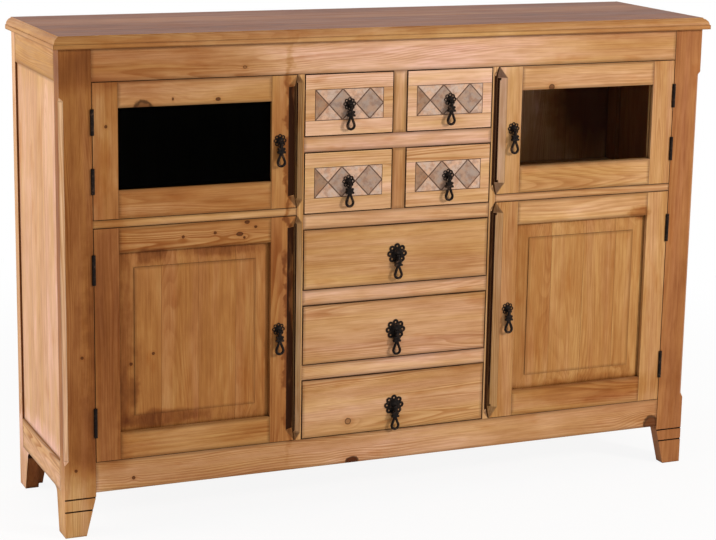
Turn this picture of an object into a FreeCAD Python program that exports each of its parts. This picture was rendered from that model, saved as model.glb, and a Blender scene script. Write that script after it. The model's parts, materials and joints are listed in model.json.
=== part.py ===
import FreeCAD, Part
import math
import os
import Sketcher
from types import SimpleNamespace

# A pine highboard: four doors, three large and four small drawers, iron drop pulls.
# X runs along the front, Y goes into the depth (the front faces -Y) and Z is up.
# The origin lies on the floor, under the middle of the whole object.

SIZES = {
    # Case, outside
    "case_width": 1474.0,
    "case_depth": 381.0,
    "leg_height": 92.0,
    "bottom_rail_height": 65.0,
    "drawer_opening_height": 132.0,
    "drawer_rail_height": 32.0,
    "top_rail_height": 67.0,
    "centre_bay_width": 434.0,
    # Top and its moulding
    "top_thickness": 25.0,
    "top_overhang": 13.0,
    "moulding_width": 14.2,
    "moulding_lip_height": 9.5,
    "moulding_ledge": 1.8,
    "moulding_quirk": 1.6,
    "moulding_radius": 15.0,
    # Front posts and their legs
    "post_width": 66.0,
    "post_depth": 63.0,
    "post_face_depth": 35.0,
    "foot_width": 45.0,
    "foot_depth": 50.0,
    "leg_taper_height": 84.0,
    "leg_curve_radius": 15.0,
    "post_chamfer": 8.4,
    "post_chamfer_stop": 8.0,
    "post_chamfer_top_inset": 28.0,
    "leg_line_height": 54.0,
    "leg_line_pitch": 26.5,
    "leg_line_width": 3.2,
    "leg_line_depth": 2.0,
    "leg_board_thickness": 27.0,
    # Rear posts
    "rear_post_width": 62.0,
    "rear_post_depth": 70.0,
    "rear_post_face_depth": 29.0,
    "rear_board_thickness": 29.0,
    "rear_return_thickness": 20.0,
    "rear_foot_depth": 46.0,
    # Rails, panels and shelves of the case
    "rail_thickness": 20.0,
    "rail_setback": 1.0,
    "side_rail_thickness": 18.0,
    "side_panel_recess": 4.0,
    "side_panel_gap": 1.6,
    "back_panel_thickness": 8.0,
    "bottom_thickness": 16.0,
    "shelf_thickness": 16.0,
    "divider_thickness": 14.5,
    "divider_bevel": 11.0,
    "divider_bevel_stop": 16.0,
    "door_stop_width": 12.0,
    "door_stop_thickness": 14.0,
    "door_stop_gap": 0.4,
    "muntin_width": 30.0,
    "runner_width": 18.0,
    "runner_height": 16.0,
    # Doors
    "door_thickness": 20.0,
    "door_gap": 1.2,
    "hinge_gap": 1.5,
    "closing_gap": 2.0,
    "hinge_stile_width": 52.5,
    "closing_stile_width": 55.5,
    "door_top_rail_width": 52.5,
    "door_bottom_rail_width": 58.0,
    "door_bevel": 19.0,
    "door_bevel_stop": 24.0,
    "glass_setback": 8.0,
    "glass_thickness": 3.0,
    "glass_play": 0.3,
    "bead_width": 8.0,
    "bead_thickness": 8.0,
    "panel_groove_setback": 10.0,
    "panel_tongue_thickness": 6.0,
    "panel_tongue_length": 7.5,
    "panel_play": 0.3,
    "panel_margin": 32.0,
    "panel_slope_height": 4.6,
    "panel_step": 1.5,
    # Hinges
    "hinge_inset": 53.0,
    "upper_hinge_height": 52.0,
    "lower_hinge_height": 62.0,
    "leaf_width": 16.0,
    "leaf_thickness": 1.6,
    "leaf_mortise": 1.0,
    "knuckle_radius": 3.6,
    "knuckle_proud": 1.5,
    "knuckle_clearance": 0.3,
    "knuckle_cap": 4.0,
    "hinge_pin_radius": 1.6,
    "pin_clearance": 0.06,
    # Drawers
    "drawer_gap": 1.0,
    "drawer_front_thickness": 20.0,
    "drawer_front_ease": 1.5,
    "drawer_depth": 330.0,
    "drawer_side_thickness": 10.0,
    "drawer_side_height": 104.0,
    "drawer_bottom_thickness": 5.0,
    "drawer_bottom_inset": 8.0,
    "drawer_slide_clearance": 0.3,
    "inlay_width": 155.0,
    "inlay_height": 65.0,
    "inlay_thickness": 3.0,
    "inlay_fit": 0.2,
    # Iron pulls
    "large_rosette_radius": 23.0,
    "small_rosette_radius": 14.0,
    "rosette_thickness": 1.6,
    "boss_height": 4.8,
    "boss_radius": 5.6,
    "pivot_standoff": 9.0,
    "pivot_drop": 3.0,
    "ear_radius": 3.4,
    "ear_thickness": 1.8,
    "ear_side_clearance": 0.3,
    "drop_barrel_radius": 3.0,
    "drop_barrel_length": 6.0,
    "drop_pin_radius": 1.5,
    "drop_shank_width": 4.6,
    "drop_collar_low": 22.5,
    "drop_collar_width": 16.0,
    "drop_collar_thickness": 6.4,
    "drop_collar_ridge": 3.8,
    "drop_collar_notch": 2.4,
    "drop_loop_length": 52.0,
    "drop_loop_radius": 10.4,
    "drop_bar_width": 5.2,
    "middle_pull_offset": 4.0,
    "lower_pull_offset": 10.0,
    "door_pull_rise": 4.0,
    # How far a cutting shape passes the face that it cuts
    "overrun": 5.0,
}
PETALS = 8
# A petal's edge and the hole pierced in it, as shares of the rosette's radius
PETAL_NOTCH_SHARE = 0.8
PETAL_SHOULDER_SHARES = (0.25, 0.92)
PETAL_HOLE_SHARES = [(0, 0.58), (0.11, 0.8), (-0.11, 0.8)]
# The lower end of a drop's loop is hammered in short flats; its sides lean in towards the collar
LOOP_FLATS = 9
LOOP_LEAN = math.radians(16.6)
# Pins, bosses and barrels are forged in flats
FORGED_FLATS = 8
# How far a bevel's face is turned from the front face that it cuts
EVEN_BEVEL = math.radians(45)
DOOR_BEVEL = math.radians(32)
INLAY_HALF_DIAMONDS = 5
TILE_JOINT_SHARE = 0.03
LARGE_DRAWERS = 3
DRAWER_ROWS = 5

FRONT, SIDE, PLAN = "front", "side", "plan"
# A sketch numbers the two ends of an edge so
EDGE_START, EDGE_END = 1, 2
X_WAY = FreeCAD.Vector(1, 0, 0)
Y_WAY = FreeCAD.Vector(0, 1, 0)
Z_WAY = FreeCAD.Vector(0, 0, 1)

doc = FreeCAD.newDocument("highboard")
sheet = doc.addObject("Spreadsheet::Sheet", "Sizes")
nodes = []


class Size:
    """A length, with its value now and the formula that ties it to the sheet."""

    def __init__(self, value, formula):
        self.value = value
        self.formula = formula

    def joined(self, other, sign, value):
        formula = other.formula if isinstance(other, Size) else str(other)
        return Size(value, f"({self.formula} {sign} {formula})")

    def __add__(self, other):
        return self.joined(other, "+", self.value + number(other))

    def __sub__(self, other):
        return self.joined(other, "-", self.value - number(other))

    def __mul__(self, other):
        return self.joined(other, "*", self.value * number(other))

    def __truediv__(self, other):
        return self.joined(other, "/", self.value / number(other))

    def __neg__(self):
        return Size(-self.value, f"(-1 * {self.formula})")


def number(amount):
    """The plain value of a size or of a number."""
    return amount.value if isinstance(amount, Size) else amount


def formula(amount):
    """The text that ties an amount to the sheet."""
    return amount.formula if isinstance(amount, Size) else str(amount)


def larger(one, other):
    """The larger of two sizes."""
    return Size(max(one.value, other.value), f"max({one.formula}; {other.formula})")


def fill_sheet():
    """Writes every named size into the sheet, one to a row."""
    for row, (alias, value) in enumerate(SIZES.items(), start=1):
        sheet.set(f"A{row}", alias)
        sheet.set(f"B{row}", str(value))
        sheet.setAlias(f"B{row}", alias)
    doc.recompute()
    return SimpleNamespace(**{alias: Size(value, f"Sizes.{alias}") for alias, value in SIZES.items()})


S = fill_sheet()

# Places that follow from the sizes
pull_reach = S.pivot_standoff + S.ear_radius
front_reach = larger(S.top_overhang, pull_reach)
front = (front_reach - S.case_depth) / 2
back = front + S.case_depth
left = -S.case_width / 2
opening_low = S.leg_height + S.bottom_rail_height
drawer_pitch = S.drawer_opening_height + S.drawer_rail_height
opening_high = opening_low + drawer_pitch * DRAWER_ROWS - S.drawer_rail_height
top_low = opening_high + S.top_rail_height
top_high = top_low + S.top_thickness
top_left = left - S.top_overhang
top_front = front - S.top_overhang
shelf_low = opening_low + drawer_pitch * LARGE_DRAWERS
shelf_high = shelf_low + S.shelf_thickness
post_inner = left + S.post_width
rail_front = front + S.rail_setback
rail_rear = rail_front + S.rail_thickness
inner_back = back - S.rear_return_thickness - S.back_panel_thickness
side_inner = left + S.side_rail_thickness
rear_board_inner = left + S.rear_board_thickness
divider_inner = -S.centre_bay_width / 2
divider_outer = divider_inner - S.divider_thickness
door_hinge_edge = post_inner + S.hinge_gap
door_closing_edge = divider_outer - S.closing_gap
door_rear = front + S.door_thickness
glass_left = door_hinge_edge + S.hinge_stile_width
glass_right = door_closing_edge - S.closing_stile_width
hinge_x = post_inner + S.hinge_gap / 2
hinge_y = front - S.knuckle_proud
pivot_y = front - S.pivot_standoff


def bind(item, prop, amount):
    """Ties one property of an object to its formula."""
    item.setExpression(prop, formula(amount))


def move_to(item, x, y, z):
    """Ties the place of an object to its formulas."""
    bind(item, "Placement.Base.x", x)
    bind(item, "Placement.Base.y", y)
    bind(item, "Placement.Base.z", z)


def node(label, item):
    """Names an object as one sub-part of the highboard."""
    item.Label = label
    nodes.append(item)
    return item


def board(name, x, y, z):
    """A square-edged board between pairs of places."""
    item = doc.addObject("Part::Box", name)
    bind(item, "Length", x[1] - x[0])
    bind(item, "Width", y[1] - y[0])
    bind(item, "Height", z[1] - z[0])
    move_to(item, x[0], y[0], z[0])
    return item


def upright_rod(name, x, y, z, radius):
    """A round rod that stands along Z between two heights."""
    item = doc.addObject("Part::Cylinder", name)
    bind(item, "Radius", radius)
    bind(item, "Height", z[1] - z[0])
    move_to(item, x, y, z[0])
    return item


def tapered_board(name, x, y, z, inset):
    """A board whose front face is smaller than its rear face by the inset all round."""
    item = doc.addObject("Part::Wedge", name)
    bind(item, "Ymin", 0)
    bind(item, "Ymax", y[1] - y[0])
    bind(item, "X2min", 0)
    bind(item, "X2max", x[1] - x[0])
    bind(item, "Z2min", 0)
    bind(item, "Z2max", z[1] - z[0])
    bind(item, "Xmin", inset)
    bind(item, "Xmax", x[1] - x[0] - inset)
    bind(item, "Zmin", inset)
    bind(item, "Zmax", z[1] - z[0] - inset)
    move_to(item, x[0], y[0], z[0])
    return item


def fuse(name, items):
    """Joins overlapping or touching shapes into one."""
    item = doc.addObject("Part::MultiFuse", name)
    item.Shapes = items
    item.Refine = True
    return item


def cut(name, base, tools):
    """Takes the tools away from the base."""
    item = doc.addObject("Part::Cut", name)
    item.Base = base
    item.Tool = tools[0] if len(tools) == 1 else fuse(f"{name}_tools", tools)
    return item


def common(name, items):
    """Keeps what the shapes share."""
    item = doc.addObject("Part::MultiCommon", name)
    item.Shapes = items
    return item


def group(name, items):
    """Holds separate solids that make up one sub-part."""
    item = doc.addObject("Part::Compound", name)
    item.Links = items
    return item


def mirrored(name, source):
    """The same piece for the right-hand side."""
    item = doc.addObject("Part::Mirroring", name)
    item.Source = source
    item.Normal = X_WAY
    return item


def arc_between(begin, end, radius):
    """An arc of at most half a circle; a positive radius has its centre on the left of the way."""
    way = end - begin
    rise = math.sqrt(max(radius * radius - way.Length ** 2 / 4, 0))
    left_hand = FreeCAD.Vector(-way.y, way.x, 0).normalize()
    centre = (begin + end) / 2 + left_hand * math.copysign(rise, radius)
    first, last = (begin, end) if radius > 0 else (end, begin)
    angles = [math.atan2(point.y - centre.y, point.x - centre.x) for point in (first, last)]
    return Part.ArcOfCircle(Part.Circle(centre, Z_WAY, abs(radius)), angles[0], angles[1])


def draw_outline(sketch, corners):
    """Draws a closed outline; a third entry of a corner is the radius of the arc that leaves it."""
    count = len(corners)
    starts = []
    for index, corner in enumerate(corners):
        following = corners[(index + 1) % count]
        begin = FreeCAD.Vector(number(corner[0]), number(corner[1]), 0)
        end = FreeCAD.Vector(number(following[0]), number(following[1]), 0)
        if len(corner) == 3:
            sketch.addGeometry(arc_between(begin, end, number(corner[2])), False)
            starts.append(EDGE_START if number(corner[2]) > 0 else EDGE_END)
        else:
            sketch.addGeometry(Part.LineSegment(begin, end), False)
            starts.append(EDGE_START)
    for index, corner in enumerate(corners):
        following = (index + 1) % count
        leave = EDGE_END if starts[index] == EDGE_START else EDGE_START
        sketch.addConstraint(Sketcher.Constraint("Coincident", index, leave, following, starts[following]))
        for kind, amount in (("DistanceX", corner[0]), ("DistanceY", corner[1])):
            rule = Sketcher.Constraint(kind, -1, 1, index, starts[index], number(amount))
            bind(sketch, f"Constraints[{sketch.addConstraint(rule)}]", amount)
        if len(corner) == 3:
            radius = corner[2] if number(corner[2]) > 0 else -corner[2]
            rule = Sketcher.Constraint("Radius", index, number(radius))
            bind(sketch, f"Constraints[{sketch.addConstraint(rule)}]", radius)


def slab(name, plane, corners, span):
    """Extrudes an outline that lies in a plane of the frame, between two places across it."""
    across = {
        FRONT: (X_WAY, Z_WAY, -Y_WAY, Y_WAY),
        SIDE: (Y_WAY, Z_WAY, X_WAY, X_WAY),
        PLAN: (X_WAY, Y_WAY, Z_WAY, Z_WAY),
    }[plane]
    sketch = doc.addObject("Sketcher::SketchObject", f"{name}_outline")
    sketch.Placement = FreeCAD.Placement(FreeCAD.Vector(), FreeCAD.Rotation(*across[:3], "XYZ"))
    draw_outline(sketch, corners)
    place = {FRONT: (0, span[0], 0), SIDE: (span[0], 0, 0), PLAN: (0, 0, span[0])}[plane]
    move_to(sketch, *place)
    return extruded(name, sketch, across[3], span[1] - span[0], 0)


def extruded(name, sketch, way, forward, backward):
    """A solid made by pushing a sketch along a way."""
    item = doc.addObject("Part::Extrusion", name)
    item.Base = sketch
    item.DirMode = "Custom"
    item.Dir = way
    item.Solid = True
    bind(item, "LengthFwd", forward)
    bind(item, "LengthRev", backward)
    return item


def stopped_bevel(name, x, y, z, width, lean, stop, facing):
    """The cutter of a bevel on an upright arris, with slanted stops; facing is the arris's way in X."""
    outward = FreeCAD.Vector(facing * math.sin(lean), -math.cos(lean), 0)
    depth = width * math.sin(lean)
    past = S.overrun * stop / depth
    corners = [
        (-depth, z[0] + stop),
        (S.overrun, z[0] - past),
        (S.overrun, z[1] + past),
        (-depth, z[1] - stop),
    ]
    sketch = doc.addObject("Sketcher::SketchObject", f"{name}_outline")
    turn = FreeCAD.Rotation(outward, Z_WAY, outward.cross(Z_WAY), "XYZ")
    sketch.Placement = FreeCAD.Placement(FreeCAD.Vector(), turn)
    draw_outline(sketch, corners)
    move_to(sketch, x, y, 0)
    half_length = width + S.overrun
    return extruded(name, sketch, outward.cross(Z_WAY), half_length, half_length)


def build_top():
    """The glued-up top and the mitred moulding round its front and ends."""
    slab_left = top_left + S.moulding_width
    slab_front = top_front + S.moulding_width
    node("top_panel", board("top_panel", (slab_left, -slab_left), (slab_front, back), (top_low, top_high)))
    ledge_height = top_low + S.moulding_lip_height

    def section(outer):
        arris = outer + S.moulding_width
        ledge = outer + S.moulding_ledge
        quirk = arris - S.moulding_quirk
        return [
            (arris, top_low),
            (arris, top_high),
            (quirk, top_high),
            (quirk, top_high - S.moulding_quirk, S.moulding_radius),
            (ledge, ledge_height),
            (outer, ledge_height),
            (outer, top_low),
        ]

    front_run = slab("moulding_front_run", SIDE, section(top_front), (top_left, -top_left))
    front_plan = [
        (top_left, top_front),
        (-top_left, top_front),
        (-slab_left, slab_front),
        (slab_left, slab_front),
    ]
    front_mitre = slab("moulding_front_mitre", PLAN, front_plan, (top_low, top_high))
    side_run = slab("moulding_side_run", FRONT, section(top_left), (top_front, back))
    side_plan = [
        (top_left, top_front),
        (slab_left, slab_front),
        (slab_left, back),
        (top_left, back),
    ]
    side_mitre = slab("moulding_side_mitre", PLAN, side_plan, (top_low, top_high))
    front_piece = common("moulding_front", [front_run, front_mitre])
    left_piece = common("moulding_left", [side_run, side_mitre])
    right_piece = mirrored("moulding_right", left_piece)
    node("top_moulding", group("top_moulding", [front_piece, left_piece, right_piece]))


def build_front_post():
    """A front post: a face board and a side board in one down to the tapered, bevelled and lined leg."""
    front_view = [
        (left, 0),
        (left + S.foot_width, 0),
        (post_inner, S.leg_taper_height),
        (post_inner, top_low),
        (left, top_low),
    ]
    post_rear = front + S.post_depth
    curve_low = S.leg_height - S.leg_curve_radius
    side_view = [
        (front, 0),
        (front + S.foot_depth, 0),
        (post_rear, curve_low, -S.leg_curve_radius),
        (post_rear + S.leg_curve_radius, S.leg_height),
        (post_rear, S.leg_height),
        (post_rear, top_low),
        (front, top_low),
    ]
    width = slab("front_post_width", FRONT, front_view, (front, post_rear + S.leg_curve_radius))
    depth = slab("front_post_depth", SIDE, side_view, (left, post_inner))
    blank = common("front_post_blank", [width, depth])
    rebate = board(
        "front_post_rebate",
        (left - S.overrun, side_inner),
        (front + S.post_face_depth, post_rear + S.leg_curve_radius + S.overrun),
        (S.leg_height, top_low + S.overrun),
    )
    inner_corner = board(
        "front_post_inner_corner",
        (left + S.leg_board_thickness, post_inner + S.overrun),
        (front + S.leg_board_thickness, post_rear + S.leg_curve_radius + S.overrun),
        (-S.overrun, S.leg_height),
    )
    bevel_span = (opening_low, opening_high - S.post_chamfer_top_inset)
    stop = S.post_chamfer_stop
    bevel = stopped_bevel("front_post_bevel", left, front, bevel_span, S.post_chamfer, EVEN_BEVEL, stop, -1)
    lines = []
    for index in range(2):
        line_low = S.leg_line_height + S.leg_line_pitch * index
        lines.append(
            board(
                f"leg_line_{index + 1}",
                (left - S.overrun, post_inner + S.overrun),
                (front - S.overrun, front + S.leg_line_depth),
                (line_low, line_low + S.leg_line_width),
            )
        )
    tools = [rebate, inner_corner, bevel, *lines, *hinge_recesses("post")]
    post = cut("front_post_left", blank, tools)
    node("front_post_left", post)
    node("front_post_right", mirrored("front_post_right", post))


def build_rear_post():
    """A rear post: a deep side board with a shallower board behind it, both tapered to the foot."""
    post_front = back - S.rear_post_depth
    curve_low = S.leg_height - S.leg_curve_radius
    side_view = [
        (back, 0),
        (back, top_low),
        (post_front, top_low),
        (post_front, S.leg_height),
        (post_front - S.leg_curve_radius, S.leg_height, -S.leg_curve_radius),
        (post_front, curve_low),
        (back - S.rear_foot_depth, 0),
    ]
    side_board = slab("rear_post_side_board", SIDE, side_view, (left, rear_board_inner))
    back_view = [
        (rear_board_inner, 0),
        (left + S.foot_width, 0),
        (left + S.rear_post_width, S.leg_taper_height),
        (left + S.rear_post_width, top_low),
        (rear_board_inner, top_low),
    ]
    back_board = slab("rear_post_back_board", FRONT, back_view, (back - S.rear_return_thickness, back))
    rebate = board(
        "rear_post_rebate",
        (left - S.overrun, side_inner),
        (post_front - S.leg_curve_radius - S.overrun, back - S.rear_post_face_depth),
        (S.leg_height, top_low + S.overrun),
    )
    post = cut("rear_post_left", fuse("rear_post_blank", [side_board, back_board]), [rebate])
    node("rear_post_left", post)
    node("rear_post_right", mirrored("rear_post_right", post))


def build_sides():
    """The side rails between the posts and the panel set back between them."""
    rail_y = (front + S.post_face_depth, back - S.rear_post_face_depth)
    upper = board("side_rail_upper", (left, side_inner), rail_y, (opening_high, top_low))
    lower = board("side_rail_lower", (left, side_inner), rail_y, (S.leg_height, opening_low))
    pair = group("side_rails_one_side", [upper, lower])
    node("side_rails", group("side_rails", [pair, mirrored("side_rails_other_side", pair)]))
    panel_y = (rail_y[0] + S.side_panel_gap, rail_y[1] - S.side_panel_gap)
    panel_x = (left + S.side_panel_recess, side_inner)
    panel = board("side_panel_left", panel_x, panel_y, (opening_low, opening_high))
    node("side_panel_left", panel)
    node("side_panel_right", mirrored("side_panel_right", panel))


def build_rails_and_back():
    """The long rails at the front and back, and the back panel behind the rear rails."""
    heights = {"upper": (opening_high, top_low), "lower": (S.leg_height, opening_low)}
    rear_inner = left + S.rear_post_width
    rear_y = (back - S.rear_return_thickness, back)
    front_rails = []
    back_rails = []
    rail_x = (post_inner, -post_inner)
    for name, span in heights.items():
        front_rails.append(board(f"front_rail_{name}", rail_x, (rail_front, rail_rear), span))
        back_rails.append(board(f"back_rail_{name}", (rear_inner, -rear_inner), rear_y, span))
    node("front_rails", group("front_rails", front_rails))
    node("back_rails", group("back_rails", back_rails))
    panel_x = (rear_board_inner, -rear_board_inner)
    node("back_panel", board("back_panel", panel_x, (inner_back, rear_y[0]), (S.leg_height, top_low)))


def build_shelves():
    """The bottom, and the shelf of each door bay, both notched round the posts."""
    post_rear = front + S.post_depth
    rear_post_front = back - S.rear_post_depth
    bottom_half = [
        (post_inner, rail_rear),
        (post_inner, post_rear),
        (side_inner, post_rear),
        (side_inner, rear_post_front),
        (rear_board_inner, rear_post_front),
        (rear_board_inner, inner_back),
    ]
    other_half = [(-x, y) for x, y in reversed(bottom_half)]
    bottom_span = (opening_low - S.bottom_thickness, opening_low)
    node("bottom_panel", slab("bottom_panel", PLAN, bottom_half + other_half, bottom_span))
    shelf_plan = [
        (post_inner, rail_front),
        (post_inner, post_rear),
        (side_inner, post_rear),
        (side_inner, rear_post_front),
        (rear_board_inner, rear_post_front),
        (rear_board_inner, inner_back),
        (divider_outer, inner_back),
        (divider_outer, rail_front),
    ]
    shelf = slab("shelf_left", PLAN, shelf_plan, (shelf_low, shelf_high))
    node("shelves", group("shelves", [shelf, mirrored("shelf_right", shelf)]))


def build_divider():
    """An upright beside the drawers, bevelled next to the doors, and the laths that they shut on."""
    divider_x = (divider_outer, divider_inner)
    blank = board("divider_blank", divider_x, (front, inner_back), (opening_low, top_low))
    notch = board(
        "divider_notch",
        (divider_outer - S.overrun, divider_inner + S.overrun),
        (front - S.overrun, rail_rear),
        (opening_high, top_low + S.overrun),
    )
    bays = {"lower": (opening_low, shelf_low), "upper": (shelf_high, opening_high)}
    tools = [notch]
    laths = []
    lath_front = door_rear + S.door_stop_gap
    lath_x = (divider_outer - S.door_stop_width, divider_outer)
    lath_y = (lath_front, lath_front + S.door_stop_thickness)
    for name, span in bays.items():
        bevel_name = f"divider_bevel_{name}"
        bevel_size = (S.divider_bevel, EVEN_BEVEL, S.divider_bevel_stop)
        tools.append(stopped_bevel(bevel_name, divider_outer, front, span, *bevel_size, -1))
        laths.append(board(f"door_stop_{name}", lath_x, lath_y, span))
    divider = group("divider_left", [cut("divider_upright", blank, tools), *laths])
    node("divider_left", divider)
    node("divider_right", mirrored("divider_right", divider))


def build_drawer_rails():
    """The rails and muntins between the drawers, and the runners that carry the drawers."""
    rail_y = (rail_front, rail_rear)
    runner_y = (rail_rear, inner_back)
    inner_side = -divider_inner
    rails = []
    runners = []
    for row in range(1, DRAWER_ROWS):
        low = opening_low + drawer_pitch * row
        rail_z = (low - S.drawer_rail_height, low)
        rails.append(board(f"drawer_rail_{row}", (divider_inner, inner_side), rail_y, rail_z))
        runner_z = (low - S.runner_height, low)
        runner = board(f"runner_{row}", (divider_inner, divider_inner + S.runner_width), runner_y, runner_z)
        runners.append(runner)
        runners.append(mirrored(f"runner_other_side_{row}", runner))
        if row >= LARGE_DRAWERS:
            half = S.muntin_width / 2
            wide = half + S.runner_width
            muntin_z = (low, low + S.drawer_opening_height)
            rails.append(board(f"muntin_{row}", (-half, half), rail_y, muntin_z))
            runners.append(board(f"middle_runner_{row}", (-wide, wide), runner_y, runner_z))
    node("drawer_rails", group("drawer_rails", rails))
    node("drawer_runners", group("drawer_runners", runners))


def door_span(level):
    """The lowest and highest places of a door, by its level."""
    bay = {"lower": (opening_low, shelf_low), "upper": (shelf_high, opening_high)}[level]
    return (bay[0] + S.door_gap, bay[1] - S.door_gap)


def hinge_spans(level):
    """The lowest and highest places of the two hinges of a door."""
    low, high = door_span(level)
    height = {"lower": S.lower_hinge_height, "upper": S.upper_hinge_height}[level]
    return [
        (low + S.hinge_inset, low + S.hinge_inset + height),
        (high - S.hinge_inset - height, high - S.hinge_inset),
    ]


def hinge_recesses(owner, levels=("lower", "upper")):
    """The mortises for the leaves and the hollows round the knuckles."""
    recesses = []
    reach = S.knuckle_radius + S.knuckle_clearance
    leaf_x = (post_inner - S.leaf_mortise, door_hinge_edge + S.leaf_mortise)
    hollow_x = (hinge_x - reach, hinge_x + reach)
    for level in levels:
        for index, (low, high) in enumerate(hinge_spans(level), start=1):
            name = f"{owner}_hinge_recess_{level}_{index}"
            hollow_z = (low - S.knuckle_clearance, high + S.knuckle_clearance)
            mortise = board(f"{name}_mortise", leaf_x, (front - S.overrun, front + S.leaf_width), (low, high))
            hollow = board(f"{name}_hollow", hollow_x, (front - S.overrun, hinge_y + reach), hollow_z)
            recesses.append(fuse(name, [mortise, hollow]))
    return recesses


def build_hinge(level, index):
    """One hinge: the post leaf with the lower knuckle and pin, and the door leaf with the upper knuckle."""
    low, high = hinge_spans(level)[index]
    name = f"hinge_{level}_{index + 1}"
    play = S.knuckle_clearance
    middle = (low + high) / 2
    lower_half = (low, middle)
    upper_half = (middle + play, high)
    bore_high = high - S.knuckle_cap
    post_leaf_x = (post_inner - S.leaf_mortise, post_inner - S.leaf_mortise + S.leaf_thickness)
    door_leaf_x = (door_hinge_edge + S.leaf_mortise - S.leaf_thickness, door_hinge_edge + S.leaf_mortise)
    leaf_y = (hinge_y + S.knuckle_radius + play, front + S.leaf_width)
    tongue_y = (hinge_y, leaf_y[0])
    post_parts = [
        board(f"{name}_post_leaf", post_leaf_x, leaf_y, (low, high)),
        board(f"{name}_post_tongue", post_leaf_x, tongue_y, lower_half),
        upright_rod(f"{name}_post_knuckle", hinge_x, hinge_y, lower_half, S.knuckle_radius),
        upright_rod(f"{name}_pin", hinge_x, hinge_y, (low, bore_high - play), S.hinge_pin_radius),
    ]
    door_parts = [
        board(f"{name}_door_leaf", door_leaf_x, leaf_y, (low, high)),
        board(f"{name}_door_tongue", door_leaf_x, tongue_y, upper_half),
        upright_rod(f"{name}_door_knuckle", hinge_x, hinge_y, upper_half, S.knuckle_radius),
    ]
    bore_radius = S.hinge_pin_radius + S.pin_clearance
    bore = upright_rod(f"{name}_bore", hinge_x, hinge_y, (middle, bore_high), bore_radius)
    door_part = cut(f"{name}_door_part", fuse(f"{name}_door_blank", door_parts), [bore])
    return fuse(f"{name}_post_part", post_parts), door_part


def build_frame(level):
    """The stiles and rails of a door, housed for glass above and for a panel below."""
    low, high = door_span(level)
    name = f"{level}_left_door"
    depth = (front, door_rear)
    field = (low + S.door_bottom_rail_width, high - S.door_top_rail_width)
    if level == "upper":
        lap = S.bead_width
        housing_y = (front + S.glass_setback, door_rear + S.overrun)
    else:
        lap = S.panel_tongue_length + S.panel_play
        groove = front + S.panel_groove_setback
        housing_y = (groove - S.panel_play, groove + S.panel_tongue_thickness + S.panel_play)
    housing_x = (glass_left - lap, glass_right + lap)
    housing_z = (field[0] - lap, field[1] + lap)
    housing = board(f"{name}_housing", housing_x, housing_y, housing_z)
    members = {
        "hinge_stile": ((door_hinge_edge, glass_left), (low, high)),
        "closing_stile": ((glass_right, door_closing_edge), (low, high)),
        "top_rail": ((glass_left, glass_right), (field[1], high)),
        "bottom_rail": ((glass_left, glass_right), (low, field[0])),
    }
    tools = {member: [housing] for member in members}
    tools["hinge_stile"] = [housing, *hinge_recesses("door", [level])]
    bevel_size = (S.door_bevel, DOOR_BEVEL, S.door_bevel_stop)
    bevel = stopped_bevel(f"{name}_bevel", door_closing_edge, front, (low, high), *bevel_size, 1)
    tools["closing_stile"] = [housing, bevel]
    pieces = []
    for member, (x, z) in members.items():
        pieces.append(cut(f"{name}_{member}", board(f"{name}_{member}_blank", x, depth, z), tools[member]))
    if level == "upper":
        pieces += glass_beads(name, housing_x, housing_z, field)
    return group(f"{name}_frame", pieces), housing_x, housing_z, field


def glass_beads(name, housing_x, housing_z, field):
    """The four beads that hold the glass from inside."""
    bead_front = front + S.glass_setback + S.glass_thickness
    bead_y = (bead_front, bead_front + S.bead_thickness)
    places = {
        "top": (housing_x, (field[1], housing_z[1])),
        "bottom": (housing_x, (housing_z[0], field[0])),
        "left": ((housing_x[0], glass_left), field),
        "right": ((glass_right, housing_x[1]), field),
    }
    return [board(f"{name}_bead_{place}", x, bead_y, z) for place, (x, z) in places.items()]


def build_fielded_panel(name, housing_x, housing_z, field):
    """A raised panel: a tongue in the frame's groove, a sloping margin and a field with a small step."""
    groove = front + S.panel_groove_setback
    play = S.panel_play
    tongue_y = (groove, groove + S.panel_tongue_thickness)
    tongue_x = (housing_x[0] + play, housing_x[1] - play)
    tongue_z = (housing_z[0] + play, housing_z[1] - play)
    tongue = board(f"{name}_tongue", tongue_x, tongue_y, tongue_z)
    slope_front = groove - S.panel_slope_height
    margin = S.panel_margin
    opening_x = (glass_left + play, glass_right - play)
    opening_z = (field[0] + play, field[1] - play)
    slope = tapered_board(f"{name}_slope", opening_x, (slope_front, groove), opening_z, margin)
    step_x = (opening_x[0] + margin, opening_x[1] - margin)
    step_z = (opening_z[0] + margin, opening_z[1] - margin)
    step = board(f"{name}_field", step_x, (slope_front - S.panel_step, slope_front), step_z)
    return fuse(name, [tongue, slope, step])


def plane_of(body, role):
    """One of a body's own origin planes or axes."""
    return next(item for item in body.Origin.OriginFeatures if item.Role == role)


def body_sketch(body, name, role):
    """A sketch on one of the body's own origin planes."""
    sketch = body.newObject("Sketcher::SketchObject", name)
    sketch.AttachmentSupport = [(plane_of(body, role), "")]
    sketch.MapMode = "FlatFace"
    return sketch


def symmetric(body, kind, name, sketch, length):
    """A pad or pocket that reaches as far on both sides of its sketch."""
    feature = body.newObject(kind, name)
    feature.Profile = sketch
    feature.SideType = "Symmetric"
    bind(feature, "Length", length)
    return feature


def padded(body, name, sketch, length):
    """A pad that rises from its sketch towards the front."""
    feature = body.newObject("PartDesign::Pad", name)
    feature.Profile = sketch
    bind(feature, "Length", length)
    return feature


def forged_round(radius, x=0, y=0):
    """The corners of a round that is hammered in flats, with a flat above, below and on both sides."""
    angles = [math.tau * (step + 0.5) / FORGED_FLATS for step in range(FORGED_FLATS)]
    return [(radius * math.cos(angle) + x, radius * math.sin(angle) + y) for angle in angles]


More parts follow.
